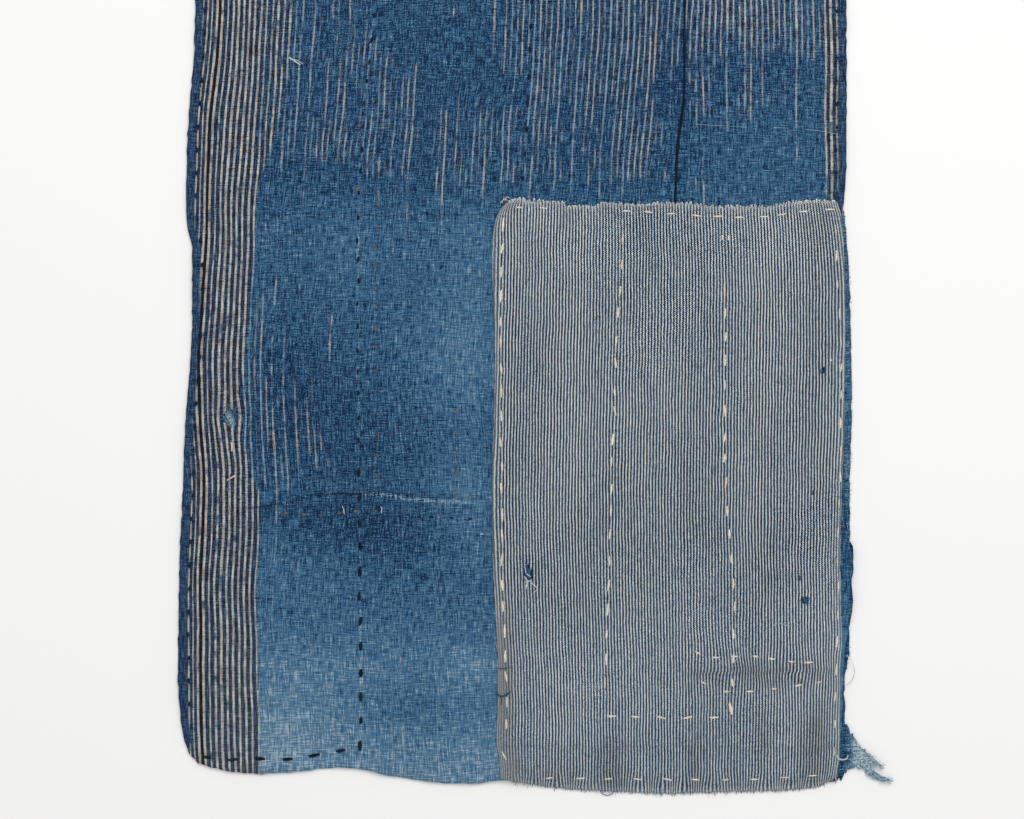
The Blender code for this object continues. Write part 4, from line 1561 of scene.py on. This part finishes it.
# (thread, width, surface below, (x, y, height above that surface) from end to end)
LOOSE_THREADS = (
    ("white", 0.34, on_floor, (
        (162.4, -178.4, 2), (165.2, -181.5, 2), (166.5, -186.7, 1.4), (165.4, -191, 1.2), (162, -194, 1.6),
    )),
    ("white", 0.85, on_floor, (
        (157.1, -229.8, 3), (157.8, -231.6, 2.9), (160.4, -232.4, 2.5), (162.4, -231.8, 2.1),
        (163, -230.2, 1.8),
    )),
    ("blue", 0.4, on_floor, (
        (33.4, -247.4, 1.2), (35.8, -250.5, 0.3), (38.4, -251.3, 0.1), (40.8, -250.2, 0.3),
        (41.8, -247.6, 1.2),
    )),
    ("blue", 0.4, ground_face, (
        (-184, -141, 0), (-181.8, -150, 0.4), (-180.7, -158, 0.5), (-180.8, -167, 0.5), (-182.6, -177, 0.1),
    )),
    ("cream", 0.36, ground_face, ((-99.6, -100.8, -0.2), (-98.7, -102.6, 0.3), (-98.5, -105, -0.2))),
    ("cream", 0.36, ground_face, ((-79.4, -101, -0.2), (-79, -102.4, 0.3), (-79.3, -104.4, -0.2))),
    ("brown", 1.3, ground_face, ((-93, 62.6, -0.6), (-91.5, 63.2, -0.4), (-90, 64.4, -0.7))),
    ("brown", 0.6, ground_face, ((-40.6, -94.4, -0.2), (-40.8, -95.4, 0.2), (-41, -96.6, -0.2))),
    ("brown", 0.5, ground_face, ((-85.4, 78.6, -0.2), (-85, 80.2, 0.2), (-84.2, 81.8, -0.2))),
    ("white", 0.34, ground_face, (
        (-17.4, 56.4, 0.2), (-16.4, 57.8, 0.8), (-14.8, 58.4, 0.7), (-13.8, 57.6, 0.9),
    )),
    ("white", 0.3, ground_face, (
        (-16.6, 56.2, 0.6), (-16.2, 57.4, 0.6), (-15.6, 59, 0.5), (-15.4, 59.6, 0.3),
    )),
    ("white", 0.3, ground_face, (
        (-15.2, 57.4, 0.9), (-14.6, 59, 0.8), (-13.4, 59.6, 0.6), (-12.8, 58.8, 0.9),
    )),
    ("blue", 0.4, ground_face, ((-17.2, 57.4, 0.3), (-15.8, 57.4, 0.7), (-14.2, 58.2, 0.6))),
    ("cream", 0.8, ground_face, ((-159.2, -87.4, -0.2), (-157.3, -86.3, 0.6), (-155, -85, -0.2))),
    ("cream", 0.9, ground_face, ((-157, -67.8, -0.3), (-156.7, -70, 0.4), (-156.9, -72.2, -0.3))),
    ("pale", 1.0, ground_face, ((-127, 131.8, 0), (-124.6, 130.3, 0.5), (-121.2, 128, 0.1))),
    ("pale", 0.5, ground_face, ((-126.4, 131, 0), (-123.4, 130.6, 0.4), (-120, 128.6, 0))),
    ("pale", 0.17, ground_face, (
        (84, 97.4, 0.02), (104, 96.2, 0.12), (128, 95.4, 0.1), (148, 94, 0.06), (157, 92.4, 0),
    )),
    ("white", 0.5, patch_face, (
        (-4.4, -142.4, 0), (-2.4, -139.3, 0.3), (-0.5, -141.4, 0.5), (1.8, -143.5, 0.5), (-0.3, -145.9, 0.1),
    )),
    ("white", 0.6, patch_face, ((-5, -137.4, -0.5), (-3.6, -139.4, 0.2), (-4, -143.6, 0.1))),
    ("white", 0.4, patch_face, ((-4.6, -132.6, -0.6), (-4.2, -135.4, -0.2), (-1.8, -137.4, -0.4))),
    ("blue", 0.5, patch_face, ((-19.2, -184.8, 0), (-16, -185.2, 0.2), (-12.2, -184.4, 0))),
    ("blue", 0.8, patch_face, ((-19.8, -198.1, 0), (-16.2, -199.3, 0.2), (-12, -196.8, 0))),
    ("blue", 0.5, patch_face, ((-17.6, -199, 0), (-16.8, -201.4, 0.1), (-17, -204, -0.1))),
    ("blue", 0.5, patch_face, ((138.8, -150.6, 0), (140.8, -149.4, 0.1), (143, -148.6, 0))),
    ("blue", 0.45, patch_face, ((139.4, -147.6, 0), (140.6, -149.8, 0.2), (141.6, -152.4, 0))),
    ("blue", 0.45, patch_face, ((142.6, -151.4, 0), (140.6, -149.4, 0.2), (139, -148.4, 0))),
    ("blue", 0.7, patch_face, ((137.4, -136.6, 0), (137.9, -138, 0.2), (137.6, -139.4, 0))),
    ("blue", 0.7, patch_face, ((144.4, -92.8, 0), (144.7, -94, 0.2), (144.5, -95, 0))),
    ("blue", 0.5, patch_face, ((32.4, -30.6, 0), (32.9, -31.4, 0.2), (32.7, -32.6, 0))),
    ("pale", 0.4, patch_face, (
        (124, -162.8, 0), (126.4, -161.4, 0.2), (129, -161.8, 0.1), (131.6, -162.8, 0),
    )),
    ("cream", 0.7, patch_face, ((97.6, 39.6, -0.3), (97.8, 38.6, 0.3), (97.7, 37.4, -0.3))),
    ("cream", 0.7, patch_face, ((100.8, 39.4, -0.3), (100.9, 38.4, 0.3), (100.8, 37.2, -0.3))),
    ("white", 0.8, patch_face, ((153.4, -24.6, -0.3), (153.9, -25, 0.3), (154.5, -25.3, -0.3))),
    ("white", 0.7, ground_face, ((-27.6, -115.4, -0.3), (-27, -115.4, 0.3), (-26.4, -115.2, -0.3))),
)
THREADS = {
    "white": WHITE_FIBRE, "cream": CREAM_THREAD, "blue": BLUE_FIBRE, "pale": PALE_FIBRE,
    "brown": BROWN_THREAD,
}
print(len(LOOSE_THREADS), "loose threads in", len(THREADS), "colours")

# %% [markdown]
# ## Threads on their curves
# Each thread becomes a tube on a smooth curve through its places, lying on the surface named with it. All
# threads of one colour are one piece, so that a user can recolour or hide them together.

# %% Loose threads as tubes
def loose_threads(colour):
    """All loose threads of one colour, joined as one piece."""
    pieces = []
    for thread, width, surface, path in LOOSE_THREADS:
        if thread == colour:
            x, y, lift = np.array(path, float).T
            place = np.stack((x, y, surface(x, y) + lift + width * 0.3), 1)
            pieces.append(tube(f"loose_{colour}_threads", place * MM, width * MM))
            pieces[-1].data.materials.append(THREADS[colour])
            bpy.ops.object.shade_smooth()
    for piece in pieces:
        piece.select_set(True)
    if len(pieces) > 1:
        bpy.ops.object.join()
    return bpy.context.object

# %% [markdown]
# ## Tufts and fuzz
# Torn cotton ends in fine fibres that point every way. They are copies of the one fibre, drawn at random
# but always from the same seed: pale ones at the strip's tips and over the hole, soft blue ones round the
# hole's rim, and darker ones along the backing's edge.

# %% Tufts and fuzz
def tuft(places, headings, lengths, width, name, finish):
    """Fibres at places in mm, each with its heading and length."""
    sizes = np.column_stack((lengths, np.full(len(places), width), np.full(len(places), width)))
    return copies(name, FIBRE, places, headings, sizes, finish)


# (x, y, z, heading, scatter of place, scatter of heading, length, fibres)
PALE_TUFTS = (
    (-156.2, -59, 2.2, 2.06, 0.9, 0.1, 8.4, 20), (-154.4, -58.8, 2.2, 3.0, 0.5, 0.25, 3.9, 26),
    (179.8, -235.6, 1.9, -0.6, 0.7, 0.5, 2.6, 14), (184, -243.4, 1.9, 0.2, 0.5, 0.5, 3.0, 16),
    (176.4, -234.8, 1.8, -0.8, 1.2, 0.6, 1.6, 14), (175, -233, 2.0, -0.7, 1.8, 0.8, 1.4, 18),
    (-124, 130, 2.4, -0.6, 1.2, 0.7, 2.4, 10),
)
HOLE_FIBRES = 120
EDGE_FIBRE_PITCH = 1.3
draw = np.random.default_rng(101)
places, headings, lengths = [], [], []
for x, y, z, heading, spread, turn, length, count in PALE_TUFTS:
    xs, ys = draw.normal(x, spread, count), draw.normal(y, spread, count)
    places.append(np.column_stack((xs, ys, np.full(count, z))))
    headings.append(draw.normal(heading, turn, count))
    lengths.append(length * draw.uniform(0.6, 1.1, count))
places, headings, lengths = map(np.concatenate, (places, headings, lengths))
pale_tufts = tuft(places, headings, lengths, 0.34, "pale_tufts", PALE_FIBRE)

# soft blue fibres blur the hole's rim
turn = draw.uniform(0, math.tau, HOLE_FIBRES)
reach = draw.uniform(0.4, 1.25, HOLE_FIBRES)
hole_x, hole_y, hole_wide, hole_high = GROUND_HOLES[0]
x = hole_x + (hole_wide + 0.4) * reach * np.cos(turn)
y = hole_y + (hole_high + 0.4) * reach * np.sin(turn)
places = np.column_stack((x, y, ground_top(x, y) - draw.uniform(-0.1, 0.7, HOLE_FIBRES)))
headings = draw.uniform(0, math.tau, HOLE_FIBRES)
lengths = draw.uniform(1.2, 2.6, HOLE_FIBRES)
hole_fuzz = tuft(places, headings, lengths, 0.3, "hole_fuzz", SOFT_FIBRE)

# and darker ones stand along the backing's right edge
y = np.arange(-240, 56, EDGE_FIBRE_PITCH)
y = y + draw.normal(0, 0.6, len(y))
x = BACKING.right(y) - draw.uniform(0, 1.0, len(y))
headings, lengths = draw.normal(0, 0.8, len(y)), draw.uniform(0.5, 1.3, len(y))
places = np.column_stack((x, y, backing_top(x, y)))
edge_fuzz = tuft(places, headings, lengths, 0.3, "backing_fuzz", BLUE_FIBRE)
loose = [loose_threads(colour) for colour in THREADS]

# %% [markdown]
# ## Binding it all to the frame
# Every piece rides on the cloth's one body. The three layers take the place of the parts they stand
# for, which are hidden.

# %% Pieces and sheets
def as_sheet(piece, node):
    """Binds one layer to the frame and hides the part that it replaces."""
    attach(piece, BODY)
    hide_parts(node)


for piece in (*stitches, *fringes, *loose, pale_tufts, hole_fuzz, edge_fuzz):
    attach(piece, BODY)
as_sheet(backing, "backing_cloth")
as_sheet(ground, "ground_cloth")
as_sheet(patch, "large_patch")

print(3 + len(stitches) + len(fringes) + len(loose) + 3, "pieces on", BODY)
